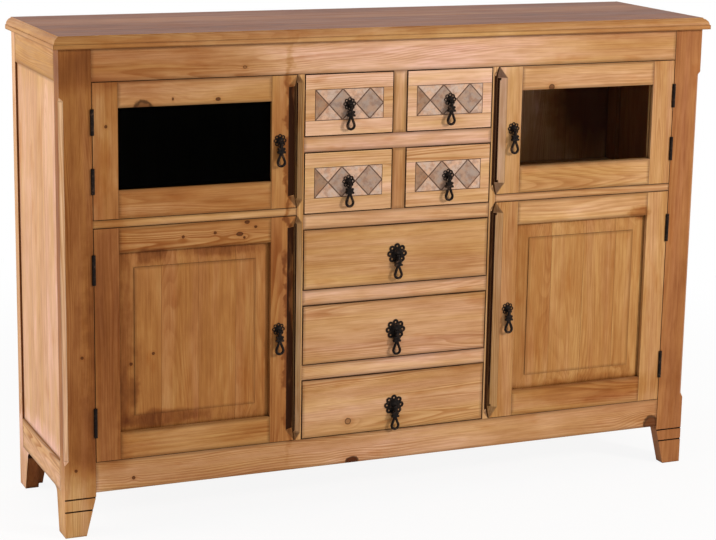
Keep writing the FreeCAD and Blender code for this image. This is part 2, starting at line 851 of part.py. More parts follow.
def round_copies(body, name, feature, count):
    """Repeats a feature round the body's Y axis."""
    pattern = body.newObject("PartDesign::PolarPattern", name)
    pattern.Originals = [feature]
    pattern.Axis = (plane_of(body, "Y_Axis"), [""])
    pattern.Angle = 360
    pattern.Occurrences = count
    body.Tip = pattern
    return pattern


def build_rosette(name, x, z, radius):
    """The pierced flower plate of a pull, with the two ears and the pin that the drop hangs on."""
    body = doc.addObject("PartDesign::Body", name)
    notch_x = radius * PETAL_NOTCH_SHARE * math.tan(math.pi / PETALS)
    notch_z = radius * PETAL_NOTCH_SHARE
    shoulder_x = radius * PETAL_SHOULDER_SHARES[0]
    shoulder_z = radius * PETAL_SHOULDER_SHARES[1]
    petal_outline = [
        (0, 0),
        (notch_x, notch_z),
        (shoulder_x, shoulder_z),
        (0, radius),
        (-shoulder_x, shoulder_z),
        (-notch_x, notch_z),
    ]
    petal_sketch = body_sketch(body, f"{name}_petal_outline", "XZ_Plane")
    draw_outline(petal_sketch, petal_outline)
    petal = padded(body, f"{name}_petal", petal_sketch, S.rosette_thickness)
    doc.recompute()
    round_copies(body, f"{name}_petals", petal, PETALS)
    hole_sketch = body_sketch(body, f"{name}_hole_outline", "XZ_Plane")
    draw_outline(hole_sketch, [(radius * across, radius * along) for across, along in PETAL_HOLE_SHARES])
    hole = symmetric(body, "PartDesign::Pocket", f"{name}_hole", hole_sketch, S.overrun * 2)
    doc.recompute()
    round_copies(body, f"{name}_holes", hole, PETALS)
    boss_sketch = body_sketch(body, f"{name}_boss_outline", "XZ_Plane")
    draw_outline(boss_sketch, forged_round(S.boss_radius))
    padded(body, f"{name}_boss", boss_sketch, S.boss_height)
    gap_width = S.drop_barrel_length + S.ear_side_clearance * 2
    ears_width = gap_width + S.ear_thickness * 2
    ear_low = -S.pivot_drop - S.ear_radius
    ear_high = -S.pivot_drop + S.ear_radius
    ear_front = -S.pivot_standoff - S.ear_radius
    ear_sketch = body_sketch(body, f"{name}_ear_outline", "YZ_Plane")
    ear_outline = [
        (-S.rosette_thickness, ear_low),
        (-S.rosette_thickness, ear_high),
        (-S.pivot_standoff, ear_high),
        (ear_front, -S.pivot_drop + S.ear_radius / 2),
        (ear_front, -S.pivot_drop - S.ear_radius / 2),
        (-S.pivot_standoff, ear_low),
    ]
    draw_outline(ear_sketch, ear_outline)
    symmetric(body, "PartDesign::Pad", f"{name}_ears", ear_sketch, ears_width)
    gap_sketch = body_sketch(body, f"{name}_gap_outline", "YZ_Plane")
    gap_outline = [
        (ear_front - S.overrun, ear_low - S.overrun),
        (-S.boss_height, ear_low - S.overrun),
        (-S.boss_height, ear_high + S.overrun),
        (ear_front - S.overrun, ear_high + S.overrun),
    ]
    draw_outline(gap_sketch, gap_outline)
    symmetric(body, "PartDesign::Pocket", f"{name}_gap", gap_sketch, gap_width)
    pin_sketch = body_sketch(body, f"{name}_pin_outline", "YZ_Plane")
    draw_outline(pin_sketch, forged_round(S.drop_pin_radius, -S.pivot_standoff, -S.pivot_drop))
    body.Tip = symmetric(body, "PartDesign::Pad", f"{name}_pin", pin_sketch, ears_width)
    move_to(body, x, front, z)
    return body


def build_drop(name, x, z):
    """The hanging iron drop: a barrel on the pin, a shank with a notched collar and a teardrop loop."""
    body = doc.addObject("PartDesign::Body", name)
    barrel_sketch = body_sketch(body, f"{name}_barrel_outline", "YZ_Plane")
    draw_outline(barrel_sketch, forged_round(S.drop_barrel_radius))
    symmetric(body, "PartDesign::Pad", f"{name}_barrel", barrel_sketch, S.drop_barrel_length)
    shank_sketch = body_sketch(body, f"{name}_shank_outline", "XZ_Plane")
    half = S.drop_shank_width / 2
    low = -S.drop_collar_low
    draw_outline(shank_sketch, [(-half, 0), (-half, low), (half, low), (half, 0)])
    symmetric(body, "PartDesign::Pad", f"{name}_shank", shank_sketch, S.drop_shank_width)
    collar_sketch = body_sketch(body, f"{name}_collar_outline", "XZ_Plane")
    draw_outline(collar_sketch, collar_outline())
    symmetric(body, "PartDesign::Pad", f"{name}_collar", collar_sketch, S.drop_collar_thickness)
    loop_sketch = body_sketch(body, f"{name}_loop_outline", "XZ_Plane")
    draw_outline(loop_sketch, teardrop(S.drop_loop_radius))
    symmetric(body, "PartDesign::Pad", f"{name}_loop", loop_sketch, S.drop_bar_width)
    hole_sketch = body_sketch(body, f"{name}_loop_hole_outline", "XZ_Plane")
    draw_outline(hole_sketch, teardrop(S.drop_loop_radius - S.drop_bar_width))
    symmetric(body, "PartDesign::Pocket", f"{name}_loop_hole", hole_sketch, S.drop_bar_width)
    bore_sketch = body_sketch(body, f"{name}_bore_outline", "YZ_Plane")
    bore_reach = (S.drop_pin_radius + S.pin_clearance) / math.cos(math.pi / FORGED_FLATS)
    draw_outline(bore_sketch, forged_round(bore_reach))
    bore_length = S.drop_barrel_length + S.overrun
    body.Tip = symmetric(body, "PartDesign::Pocket", f"{name}_bore", bore_sketch, bore_length)
    move_to(body, x, pivot_y, z - S.pivot_drop)
    return body


def collar_outline():
    """Two ridges with a notch between them on each side."""
    wide = S.drop_collar_width / 2
    narrow = wide - S.drop_collar_notch
    low = -S.drop_collar_low
    heights = [low]
    for step in (S.drop_collar_ridge, S.drop_collar_notch, S.drop_collar_ridge):
        heights.append(heights[-1] + step)
    right_side = [
        (wide, heights[0]),
        (wide, heights[1]),
        (narrow, heights[1]),
        (narrow, heights[2]),
        (wide, heights[2]),
        (wide, heights[3]),
    ]
    return right_side + [(-x, z) for x, z in reversed(right_side)]


def teardrop(radius):
    """A round lower end in short flats, with two straight sides that meet above."""
    centre_z = S.drop_loop_radius - S.drop_loop_length
    sweep = math.pi + LOOP_LEAN * 2
    angles = [math.pi - LOOP_LEAN + sweep * step / LOOP_FLATS for step in range(LOOP_FLATS + 1)]
    lower_end = [(radius * math.cos(angle), centre_z + radius * math.sin(angle)) for angle in angles]
    return [*lower_end, (0, centre_z + radius / math.sin(LOOP_LEAN))]


def build_door(level):
    """A left-hand door with its filling and ironwork, and its mirrored twin."""
    frame, housing_x, housing_z, field = build_frame(level)
    name = f"{level}_left_door"
    if level == "upper":
        play = S.glass_play
        glass_y = (front + S.glass_setback, front + S.glass_setback + S.glass_thickness)
        filling_name = "glass"
        glass_x = (housing_x[0] + play, housing_x[1] - play)
        filling = board(f"{name}_glass", glass_x, glass_y, (housing_z[0] + play, housing_z[1] - play))
    else:
        filling_name = "panel"
        filling = build_fielded_panel(f"{name}_panel", housing_x, housing_z, field)
    low, high = door_span(level)
    pull_x = glass_right + (S.closing_stile_width - S.door_bevel) / 2
    pull_z = (low + high) / 2 + S.door_pull_rise
    post_leaves = []
    door_leaves = []
    for index in range(2):
        post_leaf, door_leaf = build_hinge(level, index)
        post_leaves.append(post_leaf)
        door_leaves.append(door_leaf)
    rosette = build_rosette(f"{name}_rosette", pull_x, pull_z, S.small_rosette_radius)
    ironwork = group(f"{name}_ironwork", [*door_leaves, rosette])
    drop = build_drop(f"{name}_drop", pull_x, pull_z)
    pieces = {"frame": frame, filling_name: filling, "ironwork": ironwork, "drop": drop}
    for piece, item in pieces.items():
        node(f"{level}_left_door_{piece}", item)
        node(f"{level}_right_door_{piece}", mirrored(f"{level}_right_door_{piece}", item))
    return post_leaves


def build_doors():
    """The four doors, and the hinge leaves that stay on the posts."""
    leaves = build_door("upper") + build_door("lower")
    one_side = group("case_hinge_leaves_one_side", leaves)
    other_side = mirrored("case_hinge_leaves_other_side", one_side)
    node("case_hinge_leaves", group("case_hinge_leaves", [one_side, other_side]))


def inlay_tile(name, corners, y):
    """One stone tile, drawn in a little from its corners to leave a joint."""
    middle_x = total([x for x, _ in corners]) / len(corners)
    middle_z = total([z for _, z in corners]) / len(corners)
    drawn = []
    for x, z in corners:
        drawn.append((x + (middle_x - x) * TILE_JOINT_SHARE, z + (middle_z - z) * TILE_JOINT_SHARE))
    return slab(name, FRONT, drawn, y)


def total(amounts):
    """The sum of several sizes."""
    result = amounts[0]
    for amount in amounts[1:]:
        result = result + amount
    return result


def build_inlay(name, centre_x, centre_z):
    """Diamonds in a row, the first one halved, with triangles between them."""
    low = centre_z - S.inlay_height / 2
    high = centre_z + S.inlay_height / 2
    start = centre_x - S.inlay_width / 2
    half = S.inlay_width / INLAY_HALF_DIAMONDS
    ticks = [start + half * step for step in range(INLAY_HALF_DIAMONDS + 1)]
    shapes = [
        [(ticks[0], low), (ticks[1], centre_z), (ticks[0], high)],
        [(ticks[1], centre_z), (ticks[2], low), (ticks[3], centre_z), (ticks[2], high)],
        [(ticks[3], centre_z), (ticks[4], low), (ticks[5], centre_z), (ticks[4], high)],
        [(ticks[4], low), (ticks[5], low), (ticks[5], centre_z)],
        [(ticks[4], high), (ticks[5], centre_z), (ticks[5], high)],
    ]
    for step in (0, 2):
        first, middle, last = ticks[step : step + 3]
        shapes.append([(first, low), (last, low), (middle, centre_z)])
        shapes.append([(first, high), (middle, centre_z), (last, high)])
    y = (front, front + S.inlay_thickness)
    tiles = [inlay_tile(f"{name}_tile_{index}", corners, y) for index, corners in enumerate(shapes)]
    return group(name, tiles)


def build_drawer(name, opening_x, row, rosette_radius, pull_offset, inlaid):
    """A drawer box, its pull and, on the small ones, the stone inlay."""
    low = opening_low + drawer_pitch * row
    high = low + S.drawer_opening_height
    face_x = (opening_x[0] + S.drawer_gap, opening_x[1] - S.drawer_gap)
    face_z = (low + S.drawer_gap, high - S.drawer_gap)
    centre_x = (opening_x[0] + opening_x[1]) / 2
    centre_z = (low + high) / 2
    ease = S.drawer_front_ease
    face_rear = front + S.drawer_front_thickness
    lip = tapered_board(f"{name}_front_lip", face_x, (front, front + ease), face_z, ease)
    face_board = board(f"{name}_front_board", face_x, (front + ease, face_rear), face_z)
    face = fuse(f"{name}_front", [lip, face_board])
    if inlaid:
        reach_x = S.inlay_width / 2 + S.inlay_fit
        reach_z = S.inlay_height / 2 + S.inlay_fit
        recess = board(
            f"{name}_recess",
            (centre_x - reach_x, centre_x + reach_x),
            (front - S.overrun, front + S.inlay_thickness),
            (centre_z - reach_z, centre_z + reach_z),
        )
        face = cut(f"{name}_recessed_front", face, [recess])
        node(f"{name}_inlay", build_inlay(f"{name}_inlay", centre_x, centre_z))
    wall = S.drawer_side_thickness
    side_low = low + S.drawer_slide_clearance
    side_z = (side_low, side_low + S.drawer_side_height)
    rear = front + S.drawer_depth
    bottom_low = side_low + S.drawer_bottom_inset
    bottom_high = bottom_low + S.drawer_bottom_thickness
    inner_x = (face_x[0] + wall, face_x[1] - wall)
    pieces = [
        face,
        board(f"{name}_left_side", (face_x[0], inner_x[0]), (face_rear, rear), side_z),
        board(f"{name}_right_side", (inner_x[1], face_x[1]), (face_rear, rear), side_z),
        board(f"{name}_bottom", inner_x, (face_rear, rear), (bottom_low, bottom_high)),
        board(f"{name}_back", inner_x, (rear - wall, rear), (bottom_high, side_z[1])),
    ]
    node(f"{name}_box", group(f"{name}_box", pieces))
    pull_z = centre_z - pull_offset
    node(f"{name}_rosette", build_rosette(f"{name}_rosette", centre_x, pull_z, rosette_radius))
    node(f"{name}_drop", build_drop(f"{name}_drop", centre_x, pull_z))


def build_drawers():
    """Three large drawers below and two rows of two small drawers above."""
    whole = (divider_inner, -divider_inner)
    offsets = {"bottom": S.lower_pull_offset, "middle": S.middle_pull_offset, "top": 0}
    for row, (place, offset) in enumerate(offsets.items()):
        build_drawer(f"large_drawer_{place}", whole, row, S.large_rosette_radius, offset, False)
    halves = {
        "left": (divider_inner, -S.muntin_width / 2),
        "right": (S.muntin_width / 2, -divider_inner),
    }
    for row, place in enumerate(("lower", "upper"), start=LARGE_DRAWERS):
        for hand, opening_x in halves.items():
            name = f"small_drawer_{place}_{hand}"
            build_drawer(name, opening_x, row, S.small_rosette_radius, 0, True)


def write_parts():
    """Checks every object of the document and writes one file for each sub-part."""
    doc.recompute()
    failed = [item.Name for item in doc.Objects if {"Invalid", "Error"} & set(item.State)]
    if failed:
        raise RuntimeError(f"these objects failed: {failed}")
    for item in nodes:
        if item.Shape.isNull() or not item.Shape.isValid():
            raise RuntimeError(f"{item.Label} has no valid shape")
    os.makedirs("parts", exist_ok=True)
    for item in nodes:
        item.Shape.exportStep(os.path.join("parts", f"{item.Label}.step"))
        print(item.Label, len(item.Shape.Solids), "solids")


build_top()
build_front_post()
build_rear_post()
build_sides()
build_rails_and_back()
build_shelves()
build_divider()
build_drawer_rails()
build_doors()
build_drawers()
write_parts()
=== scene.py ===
"""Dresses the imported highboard: waxed pine, forged iron pulls, glass, stone inlay, light and camera."""

import json
import logging
import math
import random
from dataclasses import dataclass, field
from enum import Enum

import bmesh
import bpy
from mathutils import Matrix, Vector


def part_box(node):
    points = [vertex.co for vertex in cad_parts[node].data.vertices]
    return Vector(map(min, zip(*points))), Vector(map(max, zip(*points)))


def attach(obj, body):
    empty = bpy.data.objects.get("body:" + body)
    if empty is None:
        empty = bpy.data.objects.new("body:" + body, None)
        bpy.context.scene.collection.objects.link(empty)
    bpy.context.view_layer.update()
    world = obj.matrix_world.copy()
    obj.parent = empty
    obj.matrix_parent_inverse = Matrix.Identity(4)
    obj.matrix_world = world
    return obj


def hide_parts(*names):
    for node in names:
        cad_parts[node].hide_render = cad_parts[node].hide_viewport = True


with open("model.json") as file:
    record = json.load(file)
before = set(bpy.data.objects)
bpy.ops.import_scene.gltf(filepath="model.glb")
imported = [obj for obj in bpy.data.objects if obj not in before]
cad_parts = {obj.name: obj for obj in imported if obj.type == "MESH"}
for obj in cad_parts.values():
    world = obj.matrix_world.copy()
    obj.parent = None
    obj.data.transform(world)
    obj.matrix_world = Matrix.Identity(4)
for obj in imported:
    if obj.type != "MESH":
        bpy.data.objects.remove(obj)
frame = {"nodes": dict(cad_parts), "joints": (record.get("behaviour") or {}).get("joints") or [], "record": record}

log = logging.getLogger("highboard")
MM = 0.001
# Points nearer than this are one point, and a cut that passes nearer goes through the point.
WELD = 0.01 * MM
CUT_SLACK = 0.001 * MM
# Radii of the rosettes on the large drawers, and on the small drawers and the doors.
LARGE_PULL = 23.0 * MM
SMALL_PULL = 14.0 * MM
# Socket types of the node groups.
NUMBER = "NodeSocketFloat"
VECTOR = "NodeSocketVector"
BODY_OF = {node: body for body, nodes in frame["record"]["behaviour"]["bodies"].items() for node in nodes}
Triple = tuple[float, float, float]
Shade = tuple[float, float, float]


class Way(Enum):
    """The way a board's grain runs."""

    ALONG_X = 0
    ALONG_Y = 1
    ALONG_Z = 2

    @property
    def across(self) -> tuple[int, int]:
        """The two axes across the grain, in the order that the figure takes them."""
        return {Way.ALONG_X: (2, 1), Way.ALONG_Y: (0, 2), Way.ALONG_Z: (0, 1)}[self]


class StoneKind(Enum):
    """The stones of the inlay, with the tone that each one's tiles carry."""

    SLATE = 0.0
    SANDSTONE = 0.5
    CREAM = 1.0


@dataclass(frozen=True)
class Timber:
    """How light and how ruddy the boards of a piece are, by the way their grain runs.

    A tone is 0 for the darkest waxed pine and 1 for the palest. A flush is 0 for ochre and 1 for pink.
    The figure is how bold the rings are. The chamfer change is how much paler the front chamfers are.
    The inward shade is how much paler the faces that look into the case are; below nought it is painted shade.
    """

    upright: float = 0.5
    level: float = 0.5
    deep: float = 0.5
    flush: float = 0.4
    spread: float = 0.03
    figure: float = 0.5
    chamfer: float = 0.08
    inward_shade: float = 0.0

    def tone(self, way: Way, chance: random.Random) -> float:
        """The tone of one board, a little off the named one."""
        named = {Way.ALONG_X: self.level, Way.ALONG_Y: self.deep, Way.ALONG_Z: self.upright}[way]
        return named + chance.uniform(-self.spread, self.spread)


@dataclass(frozen=True)
class Fade:
    """A patch where the stain is paler or darker: its middle, its half width and height, and the changes."""

    x: float
    z: float
    width: float
    height: float
    tone: float
    flush: float = 0.0
    y: float = -0.18
    depth: float = 0.06


FADES = (
    # The top rail is paler in its middle and darker towards its ends: a painted sheen.
    Fade(-0.56, 0.975, 0.22, 0.05, -0.2),
    Fade(0.02, 0.975, 0.34, 0.05, 0.24),
    Fade(0.56, 0.985, 0.16, 0.05, -0.09),
    Fade(-0.7, 0.04, 0.09, 0.09, 0.38),
    Fade(0.0, 0.12, 0.26, 0.04, 0.16),
    Fade(0.12, 0.55, 0.1, 0.06, -0.1),
    Fade(-0.1, 0.22, 0.12, 0.06, 0.08),
    Fade(-0.46, 0.93, 0.14, 0.02, 0.12),
    # Painted shade along the groove between the left doors and the left divider.
    Fade(-0.2505, 0.8, 0.0085, 0.2, -0.3),
    Fade(-0.2505, 0.4, 0.0085, 0.24, -0.3),
    Fade(0.44, 0.7, 0.14, 0.03, -0.09),
    Fade(0.5, 0.2, 0.2, 0.03, -0.16, -0.3),
    Fade(0.45, 0.62, 0.17, 0.025, 0.08),
    Fade(-0.74, 0.13, 0.04, 0.06, 0.19, 0.3, y=0.0, depth=0.25),
    Fade(-0.74, 0.96, 0.04, 0.05, -0.03, -0.3, y=0.0, depth=0.25),
    Fade(-0.64, 0.42, 0.05, 0.32, -0.22),
    Fade(-0.545, 0.585, 0.03, 0.018, -0.3),
    Fade(-0.39, 0.588, 0.08, 0.014, -0.22),
    Fade(-0.52, 0.236, 0.09, 0.018, -0.3),
    Fade(-0.6, 0.3, 0.016, 0.08, -0.13),
    Fade(0.6, 0.6, 0.02, 0.016, -0.3),
    # Painted light and shade on the back inside the right cupboard: darker on its right, paler on its left.
    Fade(0.66, 0.88, 0.12, 0.2, -0.8, y=0.169, depth=0.004),
    Fade(0.45, 0.86, 0.12, 0.15, 0.3, y=0.169, depth=0.004),
)


@dataclass(frozen=True)
class Knot:
    """A knot in the front of a board, by its place on the front plane and its size in metres."""

    x: float
    z: float
    radius: float
    darkness: float = 0.85
    stretch: float = 1.0


@dataclass(frozen=True)
class Staves:
    """Boards glued edge to edge: the axis that crosses the joints and the places of the joints on it."""

    axis: Way
    joints: tuple[float, ...]
    seam: float = 0.7 * MM


class ShaderTree:
    """Adds and links the nodes of one material or node group."""

    def __init__(self, tree: bpy.types.NodeTree) -> None:
        """Clears a tree and takes hold of it.

        Args:
            tree: the node tree to fill.
        """
        self.tree = tree
        tree.nodes.clear()

    def add(self, kind: str, feeds: dict | None = None, **settings: object) -> bpy.types.Node:
        """Adds a node.

        Args:
            kind: the node's type name.
            feeds: values or sockets for its inputs, by name or number.
            settings: properties of the node itself.

        Returns:
            The new node.
        """
        node = self.tree.nodes.new(kind)
        for name, value in settings.items():
            setattr(node, name, value)
        for name, value in (feeds or {}).items():
            self.feed(node.inputs[name], value)
        return node

    def feed(self, socket: bpy.types.NodeSocket, value: object) -> None:
        """Links a socket to another one, or sets its value.

        Args:
            socket: the input to feed.
            value: the socket or the value that it gets.
        """
        if isinstance(value, bpy.types.NodeSocket):
            self.tree.links.new(value, socket)
        else:
            socket.default_value = value

    def math(
        self, operation: str, first: object, second: object = 0.0, clamp: bool = False
    ) -> bpy.types.NodeSocket:
        """The result of one sum.

        Args:
            operation: the sum's name, such as MULTIPLY.
            first: the first value or socket.
            second: the second value or socket.
            clamp: whether the result is kept between 0 and 1.

        Returns:
            The socket with the result.
        """
        node = self.add("ShaderNodeMath", {0: first, 1: second}, operation=operation, use_clamp=clamp)
        return node.outputs[0]

    def times(self, first: object, second: object, clamp: bool = False) -> bpy.types.NodeSocket:
        """The product of two values."""
        return self.math("MULTIPLY", first, second, clamp)

    def plus(self, first: object, second: object, clamp: bool = False) -> bpy.types.NodeSocket:
        """The sum of two values."""
        return self.math("ADD", first, second, clamp)

    def larger(self, first: object, second: object) -> bpy.types.NodeSocket:
        """The larger of two values."""
        return self.math("MAXIMUM", first, second)

    def swing(self, value: object, reach: float) -> bpy.types.NodeSocket:
        """A change to both sides of nought, from a value that lies round a half."""
        return self.times(self.math("SUBTRACT", value, 0.5), reach)

    def vector(self, operation: str, first: object, second: object) -> bpy.types.NodeSocket:
        """The vector result of one sum of vectors."""
        return self.add("ShaderNodeVectorMath", {0: first, 1: second}, operation=operation).outputs["Vector"]

    def shift(self, colour: object, reach: Triple) -> bpy.types.NodeSocket:
        """A shift to both sides of nought, from a noise's colour, whose parts lie round a half."""
        return self.vector("MULTIPLY", self.vector("SUBTRACT", colour, (0.5, 0.5, 0.5)), reach)

    def length(self, vector: object) -> bpy.types.NodeSocket:
        """The length of a vector."""
        return self.add("ShaderNodeVectorMath", {0: vector}, operation="LENGTH").outputs["Value"]

    def noise(
        self, vector: object, scale: float, detail: float = 2.0, roughness: float = 0.5
    ) -> bpy.types.Node:
        """A noise texture.

        Args:
            vector: the socket that places it.
            scale: how many features there are to a unit.
            detail: how many finer layers are added.
            roughness: how strong the finer layers are.

        Returns:
            The texture node.
        """
        feeds = {"Vector": vector, "Scale": scale, "Detail": detail, "Roughness": roughness}
        return self.add("ShaderNodeTexNoise", feeds)

    def long_noise(
        self, place: object, scales: Triple, detail: float, roughness: float = 0.5
    ) -> bpy.types.Node:
        """A noise texture with its own scale on each axis.

        Args:
            place: the socket that places it.
            scales: how many features there are to a metre on each axis.
            detail: how many finer layers are added.
            roughness: how strong the finer layers are.

        Returns:
            The texture node.
        """
        return self.noise(self.vector("MULTIPLY", place, scales), 1.0, detail, roughness)

    def ramp(
        self, value: object, low: float, high: float, start: float = 0.0, end: float = 1.0
    ) -> bpy.types.NodeSocket:
        """A smooth step of a value.

        Args:
            value: the socket to read.
            low: the value at which the step starts.
            high: the value at which it ends.
            start: the result below the step.
            end: the result above it.

        Returns:
            The socket with the result.
        """
        feeds = {"Value": value, "From Min": low, "From Max": high, "To Min": start, "To Max": end}
        return self.add("ShaderNodeMapRange", feeds, interpolation_type="SMOOTHSTEP").outputs["Result"]

    def mix(self, amount: object, first: object, second: object, blend: str = "MIX") -> bpy.types.NodeSocket:
        """A mix of two colours.

        Args:
            amount: how much of the second one.
            first: the first colour or socket.
            second: the second colour or socket.
            blend: the way of mixing.

        Returns:
            The socket with the colour.
        """
        node = self.add("ShaderNodeMix", data_type="RGBA", blend_type=blend)
        colour_inputs = (node.inputs[0], node.inputs[6], node.inputs[7])
        for socket, value in zip(colour_inputs, (amount, first, second)):
            self.feed(socket, value)
        return node.outputs[2]

    def multiply(self, colour: object, shade: Shade) -> bpy.types.NodeSocket:
        """A colour multiplied by a shade."""
        return self.mix(1.0, colour, (*shade, 1.0), "MULTIPLY")

    def darken(self, amount: object, colour: object, shade: Shade) -> bpy.types.NodeSocket:
        """A colour that is multiplied by a shade, as far as the amount says."""
        return self.mix(amount, colour, self.multiply(colour, shade))

    def attribute(self, name: str) -> bpy.types.Node:
        """Reads one of a mesh's own attributes."""
        return self.add("ShaderNodeAttribute", attribute_name=name)

    def bump(self, height: object, strength: float, depth: float) -> bpy.types.NodeSocket:
        """A normal that turns the light as small bumps do.

        Args:
            height: the socket with the height.
            strength: how strongly the light turns.
            depth: the depth of the bumps in metres.

        Returns:
            The socket with the normal.
        """
        feeds = {"Height": height, "Strength": strength, "Distance": depth}
        return self.add("ShaderNodeBump", feeds).outputs["Normal"]

    def principled(self, feeds: dict) -> bpy.types.NodeSocket:
        """The shader of a solid surface or of glass."""
        return self.add("ShaderNodeBsdfPrincipled", feeds).outputs["BSDF"]

    def show(self, shader: bpy.types.NodeSocket) -> None:
        """Shows a shader on the surface."""
        self.add("ShaderNodeOutputMaterial", {"Surface": shader})

    def seen_directly(self) -> bpy.types.NodeSocket:
        """Whether a surface is seen by the camera, in a gloss or through glass.

        Returns:
            The socket that gives 1 where it is.
        """
        rays = self.add("ShaderNodeLightPath").outputs
        through = self.larger(rays["Is Glossy Ray"], rays["Is Transmission Ray"])
        return self.larger(rays["Is Camera Ray"], through)


def make_group(
    name: str, inputs: dict[str, str], outputs: dict[str, str]
) -> tuple[ShaderTree, bpy.types.Node, bpy.types.Node]:
    """Starts a shader node group with named sockets.

    Args:
        name: the group's name.
        inputs: socket types by input name.
        outputs: socket types by output name.

    Returns:
        The group's tree, its input node and its output node.
    """
    group = bpy.data.node_groups.new(name, "ShaderNodeTree")
    tree = ShaderTree(group)
    for label, kind in inputs.items():
        group.interface.new_socket(label, in_out="INPUT", socket_type=kind)
    for label, kind in outputs.items():
        group.interface.new_socket(label, in_out="OUTPUT", socket_type=kind)
    return tree, tree.add("NodeGroupInput"), tree.add("NodeGroupOutput")


def start_material(name: str) -> tuple[bpy.types.Material, ShaderTree, bpy.types.NodeSocket]:
    """Starts a material that reads its place from the object's own coordinates.

    Args:
        name: the material's name.

    Returns:
        The material, its tree and the socket that gives the place on the object.
    """
    material = bpy.data.materials.new(name)
    material.use_nodes = True
    tree = ShaderTree(material.node_tree)
    return material, tree, tree.add("ShaderNodeTexCoord").outputs["Object"]


@dataclass(frozen=True)
class PineFigure:
    """The figure of sawn pine: growth rings round a wandering pith, fine fibre and slow changes of tone.

    Scales are features to a metre: across the grain, through the board and along the grain.
    """

    wander_scales: Triple = (8.0, 8.0, 1.8)
    sway: Triple = (0.05, 0.035, 0.0)
    bend_reach: float = 0.016
    spacing_scales: Triple = (12.0, 12.0, 0.5)
    fewest_rings: float = 110.0
    most_rings: float = 190.0
    strength_scales: Triple = (15.0, 15.0, 1.8)
    faintest_ring: float = 0.12
    fine_scales: Triple = (330.0, 330.0, 9.0)
    fine_share: float = 0.68
    long_scales: Triple = (130.0, 130.0, 1.6)
    long_share: float = 0.32
    cloud_scales: Triple = (12.0, 12.0, 3.6)
    cloud_share: float = 0.6
    fleck_scales: Triple = (65.0, 65.0, 13.0)
    fleck_share: float = 0.4
    flush_scales: Triple = (32.0, 32.0, 2.2)
    flush_start: Triple = (7.0, 3.0, 5.0)
    smear_scales: Triple = (26.0, 26.0, 8.0)
    smear_start: Triple = (1.0, 9.0, 4.0)

    def make(self) -> bpy.types.NodeTree:
        """Builds the group.

        Returns:
            The node group. Its vector is in metres, with the grain along Z.
        """
        outputs = {"Rings": NUMBER, "Fibre": NUMBER, "Blotch": NUMBER, "Flush": NUMBER, "Smear": NUMBER}
        tree, given, result = make_group("pine_figure", {"Vector": VECTOR, "Bend": NUMBER}, outputs)
        here = given.outputs["Vector"]
        wander = tree.long_noise(here, self.wander_scales, 2.0, 0.45).outputs["Color"]
        place = tree.vector("ADD", here, tree.shift(wander, self.sway))
        tree.feed(result.inputs["Rings"], self.rings(tree, place, given.outputs["Bend"]))
        fine = tree.long_noise(here, self.fine_scales, 3.0, 0.6).outputs["Fac"]
        long = tree.long_noise(place, self.long_scales, 2.0, 0.6).outputs["Fac"]
        fibre = tree.plus(tree.times(fine, self.fine_share), tree.times(long, self.long_share))
        tree.feed(result.inputs["Fibre"], tree.ramp(fibre, 0.34, 0.66))
        clouds = tree.long_noise(here, self.cloud_scales, 3.0, 0.55).outputs["Fac"]
        flecks = tree.long_noise(here, self.fleck_scales, 3.0, 0.6).outputs["Fac"]
        mixed = tree.plus(tree.times(clouds, self.cloud_share), tree.times(flecks, self.fleck_share))
        tree.feed(result.inputs["Blotch"], mixed)
        bands = tree.vector("ADD", tree.vector("MULTIPLY", place, self.flush_scales), self.flush_start)
        tree.feed(result.inputs["Flush"], tree.noise(bands, 1.0, 2.0, 0.5).outputs["Fac"])
        stains = tree.vector("ADD", tree.vector("MULTIPLY", here, self.smear_scales), self.smear_start)
        smear = tree.ramp(tree.noise(stains, 1.0, 3.0, 0.6).outputs["Fac"], 0.56, 0.72)
        tree.feed(result.inputs["Smear"], smear)
        return tree.tree

    def rings(
        self, tree: ShaderTree, place: bpy.types.NodeSocket, bend: bpy.types.NodeSocket
    ) -> bpy.types.NodeSocket:
        """The growth rings: slow to darken, quick to end, and fainter here and there.

        Args:
            tree: the group's tree.
            place: the place in the log, with its pith at the origin.
            bend: how far a knot pushes the rings aside.

        Returns:
            The socket that gives 1 in the darkest late wood.
        """
        radius = tree.length(tree.vector("MULTIPLY", place, (1.0, 1.0, 0.0)))
        bent = tree.plus(radius, tree.times(bend, self.bend_reach))
        spacing = tree.long_noise(place, self.spacing_scales, 1.0).outputs["Fac"]
        rings_to_metre = tree.ramp(spacing, 0.3, 0.7, self.fewest_rings, self.most_rings)
        phase = tree.math("FRACT", tree.times(bent, rings_to_metre))
        late = tree.times(tree.ramp(phase, 0.2, 0.86), tree.ramp(phase, 0.9, 1.0, 1.0, 0.0))
        strength = tree.long_noise(place, self.strength_scales, 1.0).outputs["Fac"]
        return tree.times(late, tree.ramp(strength, 0.36, 0.68, self.faintest_ring, 1.0))


